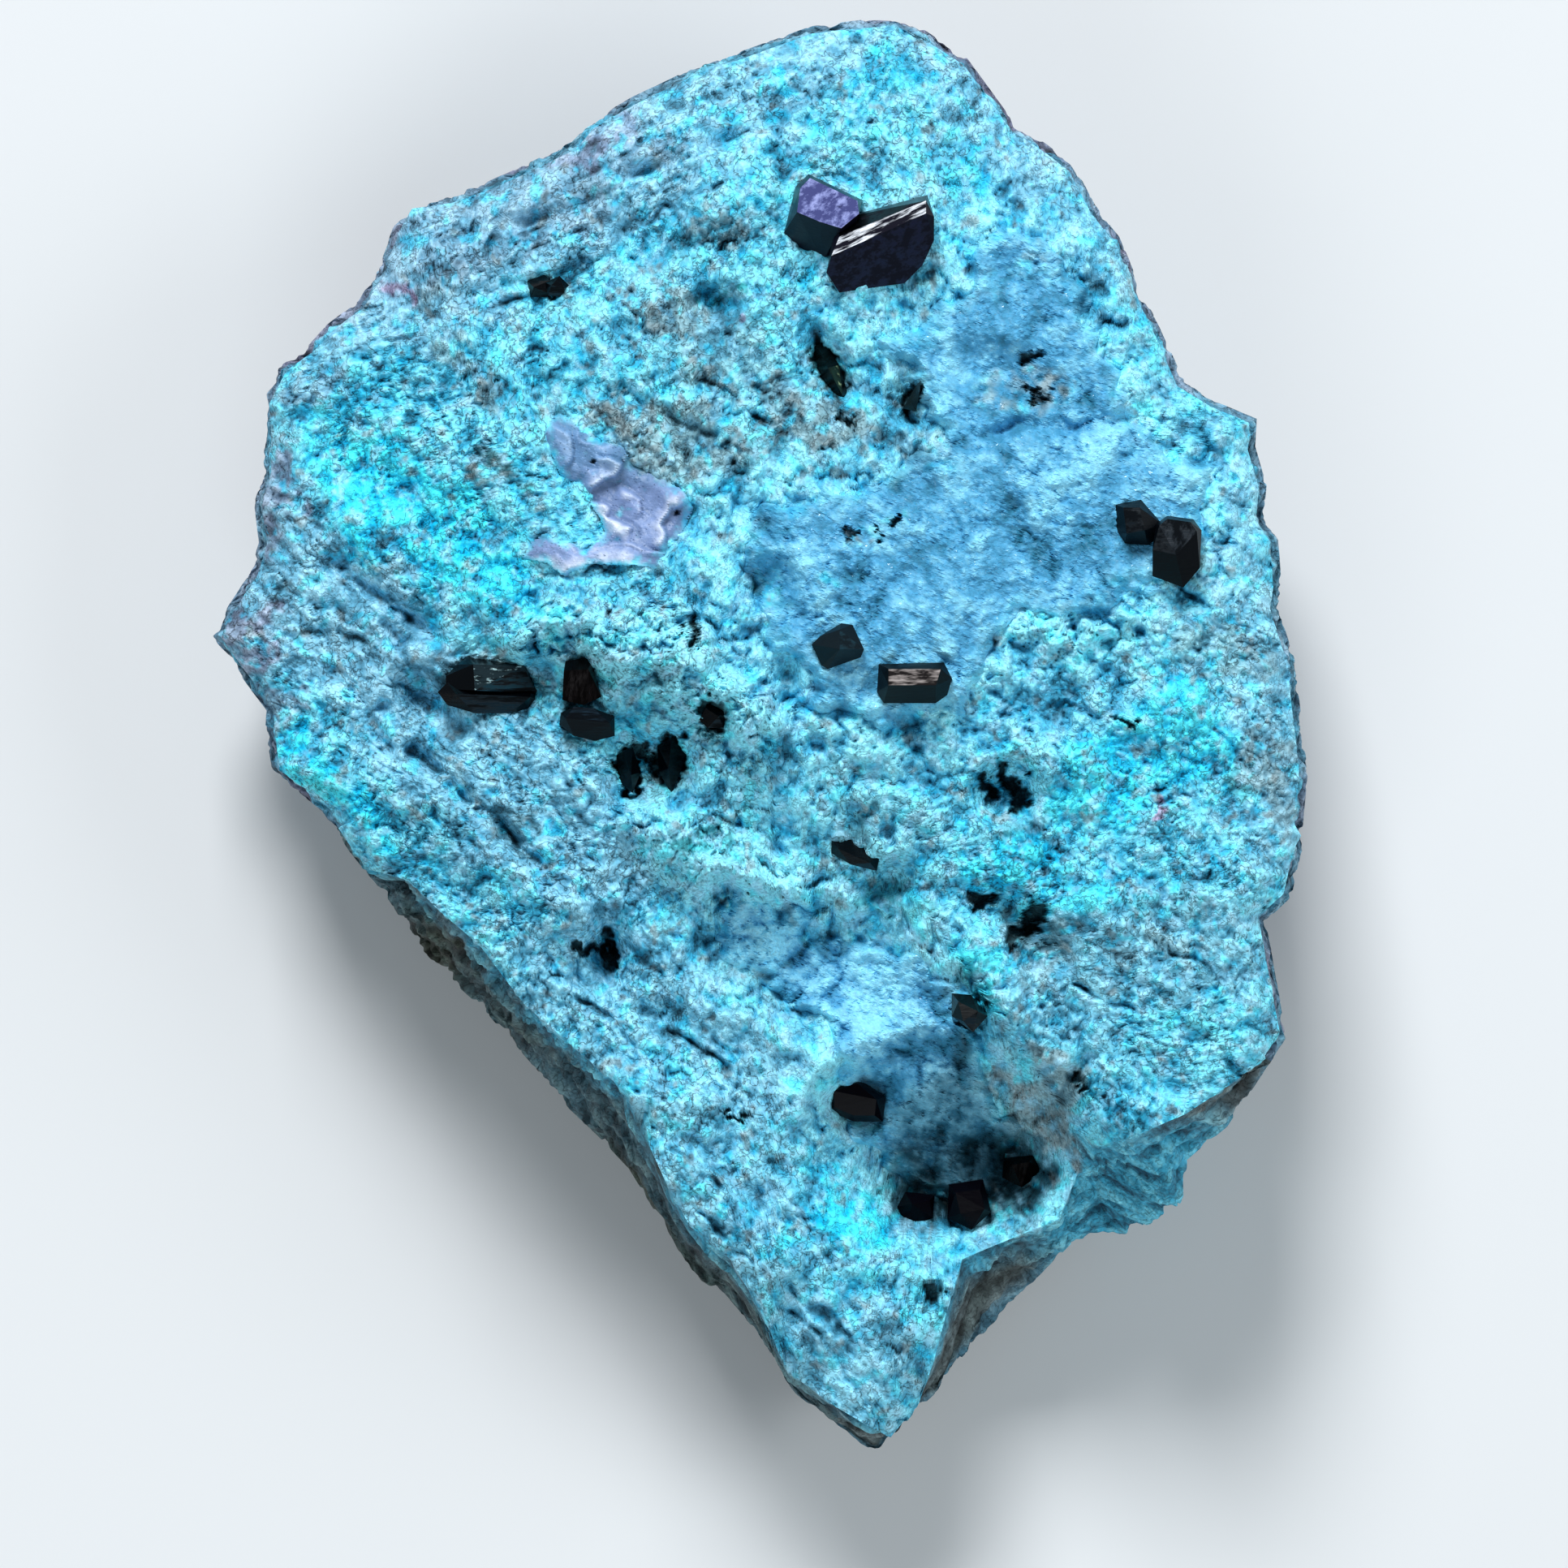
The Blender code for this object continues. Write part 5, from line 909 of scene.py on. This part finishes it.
def make_walls(around, rim, rim_colour, finish):
    """The rock's walls and back: rings from the face's rim down to the back, roughened in ledges along the wall."""
    corners = corner_angles()
    solid = wall_rings(corners)
    lap = np.concatenate((corners - math.tau, corners, corners + math.tau))
    at = np.array([[np.interp(around, lap, np.tile(row, 3)) for row in ring] for ring in solid])
    steps = np.linspace(0, len(solid) - 1, WALL_RINGS)[1:]
    low = np.clip(steps.astype(int), 0, len(solid) - 2)
    part = (steps - low)[:, None]
    radius = at[low, 0] * (1 - part) + at[low + 1, 0] * part
    height = at[low, 1] * (1 - part) + at[low + 1, 1] * part
    along = np.broadcast_to(around * 34.0, radius.shape)
    ledges = 0.34 * slope_noise(along / 4.5, height / 0.9, 1.0, 191) + 0.22 * slope_noise(along / 1.9, height / 0.45, 1.0, 192)
    rough = ledges + 0.30 * rough_noise(along, height, 1.6, 195, 3)
    outside = np.broadcast_to(ring_radius(OUTLINE, around), radius.shape)
    fade = np.clip(np.minimum(steps / 0.2, len(solid) - 1 - steps), 0, 1)[:, None]
    radius = np.minimum(radius + (rough - 0.15) * fade, np.maximum(outside - 0.02, radius - 1.0))
    height = height + 0.35 * rough_noise(along, steps[:, None] * 4.0, 1.3, 198, 3) * np.clip(fade, 0, 1)
    wall = np.stack((CENTRE[0] + radius * np.cos(around), CENTRE[1] + radius * np.sin(around), height), axis=2)
    colour = wall_tone(along, height, around, rough, steps)
    count = len(around)
    ring_index = np.arange((wall.shape[0] + 1) * count).reshape(-1, count)
    upper, lower = ring_index[:-1], ring_index[1:]
    upper_next, lower_next = np.roll(upper, -1, axis=1), np.roll(lower, -1, axis=1)
    middle = ring_index.size
    last = ring_index[-1]
    triangles = np.vstack((
        np.stack((upper.ravel(), lower.ravel(), lower_next.ravel()), axis=1),
        np.stack((upper.ravel(), lower_next.ravel(), upper_next.ravel()), axis=1),
        np.stack((last, np.full(count, middle), np.roll(last, -1)), axis=1),
    ))
    points = np.vstack((rim, wall.reshape(-1, 3), [[*CENTRE, 0.0]]))
    colours = np.vstack((rim_colour, colour, colour[-1:]))
    walls = put_mesh("rock_walls_and_back", points, triangles, colours, 0.6)
    return finish_piece(walls, finish, "turquoise_rock", "matrix")


def wall_tone(turn, height, around, rough, steps):
    """Colour of the walls: olive under the broken rim, grey and lilac elsewhere, with turquoise stains near the face,
    and lighter on the jutting ledges as painted highlight, darker between them as painted shade.
    """
    along, level = turn.ravel(), height.ravel()
    sides = np.broadcast_to(around, turn.shape).ravel()
    depth = np.broadcast_to(steps[:, None], turn.shape).ravel()
    palette = {name: np.array([linear(c) for c in colours]) for name, colours in TONES.items()}
    patch = np.clip(0.5 + 1.1 * layered_noise(along / 3.5, level, 2.2, 101), 0, 1)[:, None, None]
    on_left = (over_wall(sides) & (sides < turn_of((5.0, -44.0))))[:, None, None]
    on_right = (over_wall(sides) & (sides >= turn_of((5.0, -44.0))))[:, None, None]
    plain = palette["grey"] * 0.7 * (1 - patch) + palette["lilac"] * patch
    left = palette["olive"] * (1 - 0.28 * patch) + palette["grey"] * 0.26 * patch
    edge_strip = (0.8 * np.clip(1.3 - np.abs(depth - 2.9) / 0.5, 0, 1))[:, None, None]
    right = palette["brown"] * 0.75 * (1 - 0.5 * patch) + palette["olive"] * 0.5 * patch
    right = right * (1 - edge_strip) + palette["grey"] * 0.55 * edge_strip
    mix = np.where(on_left, left, np.where(on_right, right, plain))
    lump = np.clip(1.5 - in_ellipse(sides, level, turn_of((23.5, -28.5)), 11.0, 0.19, 9.0), 0, 1)
    near_face = np.clip(1.4 - depth, 0, 1) * np.clip(0.6 + 1.2 * layered_noise(along, level, 2.2, 105), 0, 1)
    stain = (0.85 * np.maximum(near_face, lump))[:, None, None]
    mix = mix * (1 - stain) + palette["granular"] * stain
    fine = rough_noise(along / 3, level, 0.7, 107, 3)
    # Painted highlight on the jutting ledges and painted shade between them
    return three_tones(mix, 0.44 + 0.45 * fine + 0.7 * rough.ravel())


def point_field(border, step, seed):
    """Points strewn inside a border, in rows a step apart with each pushed aside by chance, and their triangles."""
    low = np.min(border, axis=0) - step
    high = np.max(border, axis=0) + step
    rows = int((high[1] - low[1]) / (step * math.sqrt(3) / 2)) + 1
    columns = int((high[0] - low[0]) / step) + rows // 2 + 2
    i, j = np.meshgrid(np.arange(columns), np.arange(rows))
    x = low[0] + (i - j // 2 + 0.5 * (j % 2) + 0.62 * (hashed(i, j, seed) - 0.5)) * step
    y = low[1] + (j * math.sqrt(3) / 2 + 0.62 * (hashed(i, j, seed + 1) - 0.5)) * step
    triangles = grid_triangles(np.arange(rows * columns).reshape(rows, columns))
    x, y = x.ravel(), y.ravel()
    keep = inside(x, y, border)
    triangles = triangles[keep[triangles].all(axis=1)]
    used, triangles = np.unique(triangles, return_inverse=True)
    return x[used], y[used], triangles.reshape(-1, 3)


def make_druse(name, border, step, finish, seed):
    """A quartz crust: a flat-faced sheet of small points on the rock."""
    x, y, triangles = point_field(border, step, seed)
    height, colour = crust_surface(x, y, border, seed)
    points = np.stack((x, y, surface_height(x, y) + height), axis=1)
    druse = put_mesh(name + "_points", points, triangles, colour, 0.15, smooth=False)
    return finish_piece(druse, finish, "quartz_druse", name)


def film_folds(x, y):
    """The film's folds: a share from 0 to 1 on the high side of each, falling off away from its edge."""
    wx = x + 0.35 * slope_noise(x, y, 1.1, 301)
    wy = y + 0.35 * slope_noise(x, y, 1.1, 302)
    total = np.zeros(np.shape(x))
    for rise, reach, path in FOLDS:
        distance, side, fade = path_offset(wx, wy, path)
        total = np.maximum(total, rise * fade * (0.5 + 0.5 * np.tanh(side * distance / 0.12)) * np.exp(-distance / reach))
    return total


def make_film(finish):
    """The folded film: a thin sheet over the rock with sharp folds and creases, its two sides closed at the edge."""
    x, y, triangles = point_field(FILM, FILM_STEP, 121)
    edge = np.clip(depth_inside(x, y, FILM) / 0.7, 0, 1)
    folds = film_folds(x, y)
    creases = 1 - np.minimum(np.abs(slope_noise(x + y, (y - x) * 0.6, 1.3, 123)) * 2.2, 1)
    wrinkles = rough_noise(x, y, 0.9, 125, 3)
    holes = np.zeros(len(x))
    for cx, cy, half_length, half_width in FILM_HOLES:
        holes = np.maximum(holes, np.clip(1.4 - in_ellipse(x + 0.2 * wrinkles, y, cx, cy, half_length, half_width), 0, 1))
    low = surface_height(x, y) + CRUST_GAP + 1.1 * folds + 0.05 * creases**2 + 0.03 * wrinkles - 0.5 * holes
    low = low - 0.45 * (1 - edge)
    high = low + FILM_THICKNESS * np.sqrt(edge) + 0.02
    upper_sheet = np.clip((y - 15.0) / 3, 0, 0.7)[:, None, None]
    pale, dim, dark = (np.array([linear(c) for c in tones]) for tones in (*FILM_TONES, TONES["dark"]))
    mix = pale * (1 - upper_sheet) + dim * upper_sheet
    # Painted shade in the film's holes
    mix = mix * (1 - 0.9 * holes[:, None, None]) + dark * 0.9 * holes[:, None, None]
    # The tone follows the film's height: painted highlight on the folds and crease lines, painted shade low between
    # them
    tone = 0.22 + 0.85 * folds + 0.08 * creases**2 + 0.10 * wrinkles
    relief, skin_tone = skin_relief(x, y)
    own = np.clip(0.1 + 1.3 * edge + 0.7 * wrinkles, 0, 1)[:, None]
    colour = three_tones(mix, tone) * own + skin_colour(x, y, skin_tone) * (1 - own)
    count = len(x)
    a, b = border_sides(triangles).T
    rim = np.vstack((np.stack((b, a, a + count), 1), np.stack((b, a + count, b + count), 1)))
    faces = np.vstack((triangles, triangles[:, ::-1] + count, rim))
    points = np.vstack((np.stack((x, y, high), axis=1), np.stack((x, y, low), axis=1)))
    film = put_mesh("folded_film", points, faces, np.vstack((colour, colour)))
    return finish_piece(film, finish, "lavender_film", "mineral_film")


def border_sides(triangles):
    """The sides of triangles that only one triangle has, each in its triangle's direction."""
    sides = np.vstack((triangles[:, (0, 1)], triangles[:, (1, 2)], triangles[:, (2, 0)]))
    size = int(triangles.max()) + 1
    forward = sides[:, 0].astype(np.int64) * size + sides[:, 1]
    backward = sides[:, 1].astype(np.int64) * size + sides[:, 0]
    return sides[~np.isin(forward, backward)]


def new_material(name):
    """A material with its shader, and the shader's node tree."""
    made = bpy.data.materials.new(name)
    made.use_nodes = True
    return made, made.node_tree, made.node_tree.nodes["Principled BSDF"]


def math_node(tree, operation, *values):
    """A sum node with its inputs linked or set."""
    node = tree.nodes.new("ShaderNodeMath")
    node.operation = operation
    for socket, value in zip(node.inputs, values):
        if isinstance(value, (int, float)):
            socket.default_value = value
        else:
            tree.links.new(value, socket)
    return node.outputs[0]


def grain_group():
    """Fine mineral grain over a colour: thin dark gaps where a noise crosses its middle, painted shade in fine cracks,
    and light and dark specks.
    """
    group = bpy.data.node_groups.new("mineral grain", "ShaderNodeTree")
    face = group.interface
    for name, value in (("Fineness", 1500.0), ("Contrast", 0.3), ("Gaps", 0.5), ("Depth", 0.3)):
        socket = face.new_socket(name, in_out="INPUT", socket_type="NodeSocketFloat")
        socket.default_value = value
    face.new_socket("Colour", in_out="INPUT", socket_type="NodeSocketColor")
    face.new_socket("Colour", in_out="OUTPUT", socket_type="NodeSocketColor")
    face.new_socket("Normal", in_out="OUTPUT", socket_type="NodeSocketVector")
    nodes, links = group.nodes, group.links
    given, given_out = nodes.new("NodeGroupInput"), nodes.new("NodeGroupOutput")
    place = nodes.new("ShaderNodeTexCoord")
    noises = []
    for share, detail in ((1.0, 2.0), (2.3, 3.0)):
        noise = nodes.new("ShaderNodeTexNoise")
        noise.inputs["Detail"].default_value = detail
        noise.inputs["Roughness"].default_value = 0.6
        links.new(place.outputs["Object"], noise.inputs["Vector"])
        links.new(math_node(group, "MULTIPLY", given.outputs["Fineness"], share), noise.inputs["Scale"])
        noises.append(noise.outputs["Fac"])
    off = math_node(group, "ABSOLUTE", math_node(group, "SUBTRACT", noises[0], 0.5))
    line = math_node(group, "MINIMUM", math_node(group, "DIVIDE", off, 0.05), 1.0)
    gap = math_node(group, "MULTIPLY", math_node(group, "SUBTRACT", 1.0, line), given.outputs["Gaps"])
    speck = math_node(group, "MULTIPLY", math_node(group, "SUBTRACT", noises[1], 0.5), given.outputs["Contrast"])
    speck = math_node(group, "MULTIPLY_ADD", speck, 5.0, 1.0)
    strength = math_node(group, "MAXIMUM", math_node(group, "SUBTRACT", speck, gap), 0.05)
    tint = nodes.new("ShaderNodeVectorMath")
    tint.operation = "SCALE"
    links.new(given.outputs["Colour"], tint.inputs[0])
    links.new(strength, tint.inputs["Scale"])
    links.new(tint.outputs["Vector"], given_out.inputs["Colour"])
    bump = nodes.new("ShaderNodeBump")
    bump.inputs["Distance"].default_value = 0.0001
    links.new(given.outputs["Depth"], bump.inputs["Strength"])
    links.new(math_node(group, "ADD", math_node(group, "MULTIPLY", line, 0.6), noises[1]), bump.inputs["Height"])
    links.new(bump.outputs["Normal"], given_out.inputs["Normal"])
    return group


def painted_material(name, grain, fineness, contrast, gaps, depth, roughness, gloss, glints=0.0):
    """A mineral surface in the colours of its points, with fine grain and painted shade in fine cracks over them, and a
    share of mirror-like specks.
    """
    made, tree, shader = new_material(name)
    tone = tree.nodes.new("ShaderNodeAttribute")
    tone.attribute_name = "tone"
    fine = tree.nodes.new("ShaderNodeGroup")
    fine.node_tree = grain
    for socket, value in (("Fineness", fineness), ("Contrast", contrast), ("Depth", depth)):
        fine.inputs[socket].default_value = value
    tree.links.new(math_node(tree, "MULTIPLY", tone.outputs["Alpha"], gaps), fine.inputs["Gaps"])
    tree.links.new(tone.outputs["Color"], fine.inputs["Colour"])
    tree.links.new(fine.outputs["Colour"], shader.inputs["Base Color"])
    tree.links.new(fine.outputs["Normal"], shader.inputs["Normal"])
    shader.inputs["Roughness"].default_value = roughness
    shader.inputs["Specular IOR Level"].default_value = gloss
    if glints:
        cell = tree.nodes.new("ShaderNodeTexVoronoi")
        cell.inputs["Scale"].default_value = 5200.0
        tree.links.new(tree.nodes.new("ShaderNodeTexCoord").outputs["Object"], cell.inputs["Vector"])
        shares = tree.nodes.new("ShaderNodeSeparateColor")
        tree.links.new(cell.outputs["Color"], shares.inputs["Color"])
        bright = math_node(tree, "GREATER_THAN", shares.outputs["Red"], 1 - glints)
        tree.links.new(math_node(tree, "MULTIPLY_ADD", bright, 0.08 - roughness, roughness), shader.inputs["Roughness"])
    return made


def crystal_material(name, body, sheens, roughness, gloss):
    """A dark crystal: glassy and near black, with sheens on the faces that look a given way: paler streaks as painted
    highlights and reflections, and darker ones as painted shade.

    A sheen's mask is how closely a face's direction agrees with the given one, and its streaks are stretched noise.
    """
    made, tree, shader = new_material(name)
    nodes, links = tree.nodes, tree.links
    place = nodes.new("ShaderNodeTexCoord")
    normal = nodes.new("ShaderNodeNewGeometry").outputs["True Normal"]
    colour, rough = None, None
    for direction, sheen, cover, turn, length, width in sheens:
        along = nodes.new("ShaderNodeMapping")
        along.vector_type = "TEXTURE"
        along.inputs["Rotation"].default_value = (0.0, 0.0, math.radians(turn))
        along.inputs["Scale"].default_value = (length * MM, width * MM, 0.9 * MM)
        lines = nodes.new("ShaderNodeTexNoise")
        lines.inputs["Scale"].default_value = 1.0
        lines.inputs["Detail"].default_value = 4
        lines.inputs["Roughness"].default_value = 0.7
        links.new(place.outputs["Object"], along.inputs["Vector"])
        links.new(along.outputs["Vector"], lines.inputs["Vector"])
        dot = nodes.new("ShaderNodeVectorMath")
        dot.operation = "DOT_PRODUCT"
        links.new(normal, dot.inputs[0])
        dot.inputs[1].default_value = direction
        agrees = math_node(tree, "GREATER_THAN", dot.outputs["Value"], 0.99)
        streaky = math_node(tree, "MULTIPLY_ADD", lines.outputs["Fac"], 7.0, cover - 3.5)
        streaky = math_node(tree, "MINIMUM", math_node(tree, "MAXIMUM", streaky, 0.0), 1.0)
        dull = math_node(tree, "MULTIPLY", agrees, math_node(tree, "SUBTRACT", 1.0, streaky))
        rough = math_node(tree, "MULTIPLY_ADD", dull, 0.9 - roughness, roughness if rough is None else rough)
        mix = nodes.new("ShaderNodeMix")
        mix.data_type = "RGBA"
        if colour is None:
            mix.inputs["A"].default_value = (*linear(body), 1)
        else:
            links.new(colour, mix.inputs["A"])
        mix.inputs["B"].default_value = (*linear(sheen), 1)
        links.new(math_node(tree, "MULTIPLY", agrees, streaky), mix.inputs["Factor"])
        colour = mix.outputs["Result"]
    links.new(colour, shader.inputs["Base Color"])
    bump = nodes.new("ShaderNodeBump")
    bump.inputs["Strength"].default_value = 0.3
    bump.inputs["Distance"].default_value = 0.00008
    links.new(lines.outputs["Fac"], bump.inputs["Height"])
    links.new(bump.outputs["Normal"], shader.inputs["Normal"])
    links.new(rough, shader.inputs["Roughness"])
    shader.inputs["Specular IOR Level"].default_value = gloss
    return made


def facing(azimuth, tilt):
    """The direction of a face from the turn and the tilt of its normal, in degrees."""
    a, t = math.radians(azimuth), math.radians(tilt)
    return (math.sin(t) * math.cos(a), math.sin(t) * math.sin(a), math.cos(t))


def dress_crystals():
    """Give the solid crystals their materials: body colour, sheens as face, colour, cover and turn, roughness, gloss.

    The sheens are painted highlights and reflections on faces that meet the light, and one darker sheen is painted
    shade.
    """
    looks = {
        "blue-black crystal": ("#020407", (
            (facing(-84, 64), "#16303c", 0.4, 0, 3.0, 0.5), (facing(62, 4), "#16262c", 0.9, 0, 2.0, 0.5),
            (facing(62, 4), "#b8dce0", -0.45, 0, 0.8, 0.3), (facing(-41, 9), "#16323c", 0.3, 0, 2.0, 0.4),
            (facing(-91, 40), "#10222c", 0.5, 0, 3.0, 0.4),
        ), 0.20, 0.18, (
            "left_blade_crystals", "upper_left_twin_crystals", "basin_edge_crystal", "slope_crystal",
            "pit_crystal_1", "pit_crystal_2", "pit_crystal_3",
        )),
        "navy crystal": ("#04080d", (
            (facing(100, 14), "#121c24", 0.5, 70, 1.0, 0.6), (facing(79, 24), "#14202a", 0.0, 0, 3.0, 0.4),
            (facing(134, 14), "#0e161c", 0.5, 0, 1.0, 0.6), (facing(85, 28), "#182834", 0.0, 0, 3.0, 0.3),
        ), 0.36, 0.10, (
            "right_twin_crystals", "left_lower_blade_crystal",
        )),
        "purple-black crystal": ("#0d0c1a", (
            (facing(89, 20), "#424678", 2.0, 40, 1.0, 0.8), (facing(89, 20), "#848cc4", 0.3, 40, 1.2, 0.8),
            (facing(-66, 44), "#1a1830", 0.3, 20, 0.8, 0.6), (facing(114, 29), "#f4f8ff", 0.3, 24, 3.2, 0.45),
            # Painted shade on the steep face behind the blade
            (facing(113, 65), "#010102", 1.0, 0, 1.0, 1.0),
        ), 0.34, 0.16, ("top_twin_crystals",)),
        "plum-black crystal": ("#050308", ((facing(-60, 20), "#100a16", 0.5, 0, 1.5, 0.6),), 0.30, 0.05, (
            "pocket_crystal", "hollow_crystal_1", "hollow_crystal_2",
        )),
        "red-black crystal": ("#040202", ((facing(-89, 33), "#0c0506", 0.4, 80, 2.0, 0.4),), 0.26, 0.06, (
            "left_block_crystal", "hollow_crystal_3",
        )),
        "bronze-sheened crystal": ("#030304", (
            (facing(90, 27), "#181414", 2.0, 0, 1.0, 1.0), (facing(90, 27), "#948a86", 0.2, 0, 3.0, 0.6),
        ), 0.40, 0.12, ("centre_tabular_crystal",)),
        "slate crystal": ("#0a161c", ((facing(44, 40), "#16303a", 0.4, 0, 1.5, 0.7),), 0.38, 0.12, ("centre_rhomb_crystal",)),
        "green-black crystal": ("#030706", (
            (facing(19, 44), "#0e2a22", 0.8, -60, 2.0, 0.5), (facing(19, 44), "#c4d8a0", -0.6, -60, 1.0, 0.25),
        ), 0.20, 0.25, ("slot_crystal", "sliver_crystal")),
    }
    for name, (body, sheens, roughness, gloss, nodes) in looks.items():
        finish = crystal_material(name, body, sheens, roughness, gloss)
        for node in nodes:
            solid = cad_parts[node]
            solid.data.materials.clear()
            solid.data.materials.append(finish)


def make_floor():
    """A plain pale floor under the specimen."""
    mesh = bpy.data.meshes.new("floor")
    reach = 1.5
    mesh.from_pydata([(-reach, -reach, 0), (reach, -reach, 0), (reach, reach, 0), (-reach, reach, 0)], [], [(0, 1, 2, 3)])
    floor = bpy.data.objects.new("floor", mesh)
    bpy.context.scene.collection.objects.link(floor)
    made, tree, shader = new_material("pale floor")
    shader.inputs["Base Color"].default_value = (0.74, 0.74, 0.74, 1)
    shader.inputs["Roughness"].default_value = 0.9
    mesh.materials.append(made)


def add_light(name, place, size, power, colour):
    """A soft square light that looks at the specimen."""
    light = bpy.data.lights.new(name, "AREA")
    light.size = size
    light.energy = power
    light.color = colour
    made = bpy.data.objects.new(name, light)
    made.location = place
    direction = -made.location.normalized()
    made.rotation_euler = direction.to_track_quat("-Z", "Y").to_euler()
    bpy.context.scene.collection.objects.link(made)


def make_studio():
    """Soft light from the top of the face and from its right, a pale surround, and a camera straight over the face."""
    add_light("top light", (-0.24, 1.32, 1.16), 0.60, 35.0, (0.94, 0.97, 1.0))
    add_light("right light", (1.20, 0.10, 0.80), 0.75, 6.5, (0.90, 0.97, 1.0))
    add_light("lower light", (-0.30, -1.20, 0.95), 0.90, 6.8, (0.90, 0.97, 1.0))
    world = bpy.data.worlds.new("studio")
    world.use_nodes = True
    world.node_tree.nodes["Background"].inputs["Color"].default_value = (0.78, 0.90, 1.0, 1)
    world.node_tree.nodes["Background"].inputs["Strength"].default_value = 0.24
    bpy.context.scene.world = world
    camera = bpy.data.cameras.new("camera")
    camera.sensor_width = 36
    camera.clip_end = 20
    camera.angle = 2 * math.atan(VIEW_WIDTH / 2 / (CAMERA_DISTANCE - RIM_LEVEL))
    made = bpy.data.objects.new("camera", camera)
    made.location = (VIEW_MIDDLE[0] * MM, VIEW_MIDDLE[1] * MM, CAMERA_DISTANCE * MM)
    bpy.context.scene.collection.objects.link(made)
    bpy.context.scene.camera = made
    bpy.context.scene.view_settings.view_transform = "Standard"


grain = grain_group()
rock_finish = painted_material("turquoise rock", grain, 1500.0, 0.32, 0.6, 0.8, 0.6, 0.25)
druse_finish = painted_material("quartz druse", grain, 1800.0, 0.16, 0.5, 0.2, 0.55, 0.3, glints=0.10)
film_finish = painted_material("pale lavender film", grain, 1600.0, 0.10, 0.0, 0.2, 0.4, 0.3)
make_walls(*make_face(rock_finish), rock_finish)
make_druse("upper_druse", UPPER_DRUSE, UPPER_STEP, druse_finish, 140)
make_druse("hollow_druse", HOLLOW_DRUSE, HOLLOW_STEP, druse_finish, 160)
make_film(film_finish)
dress_crystals()
make_floor()
make_studio()
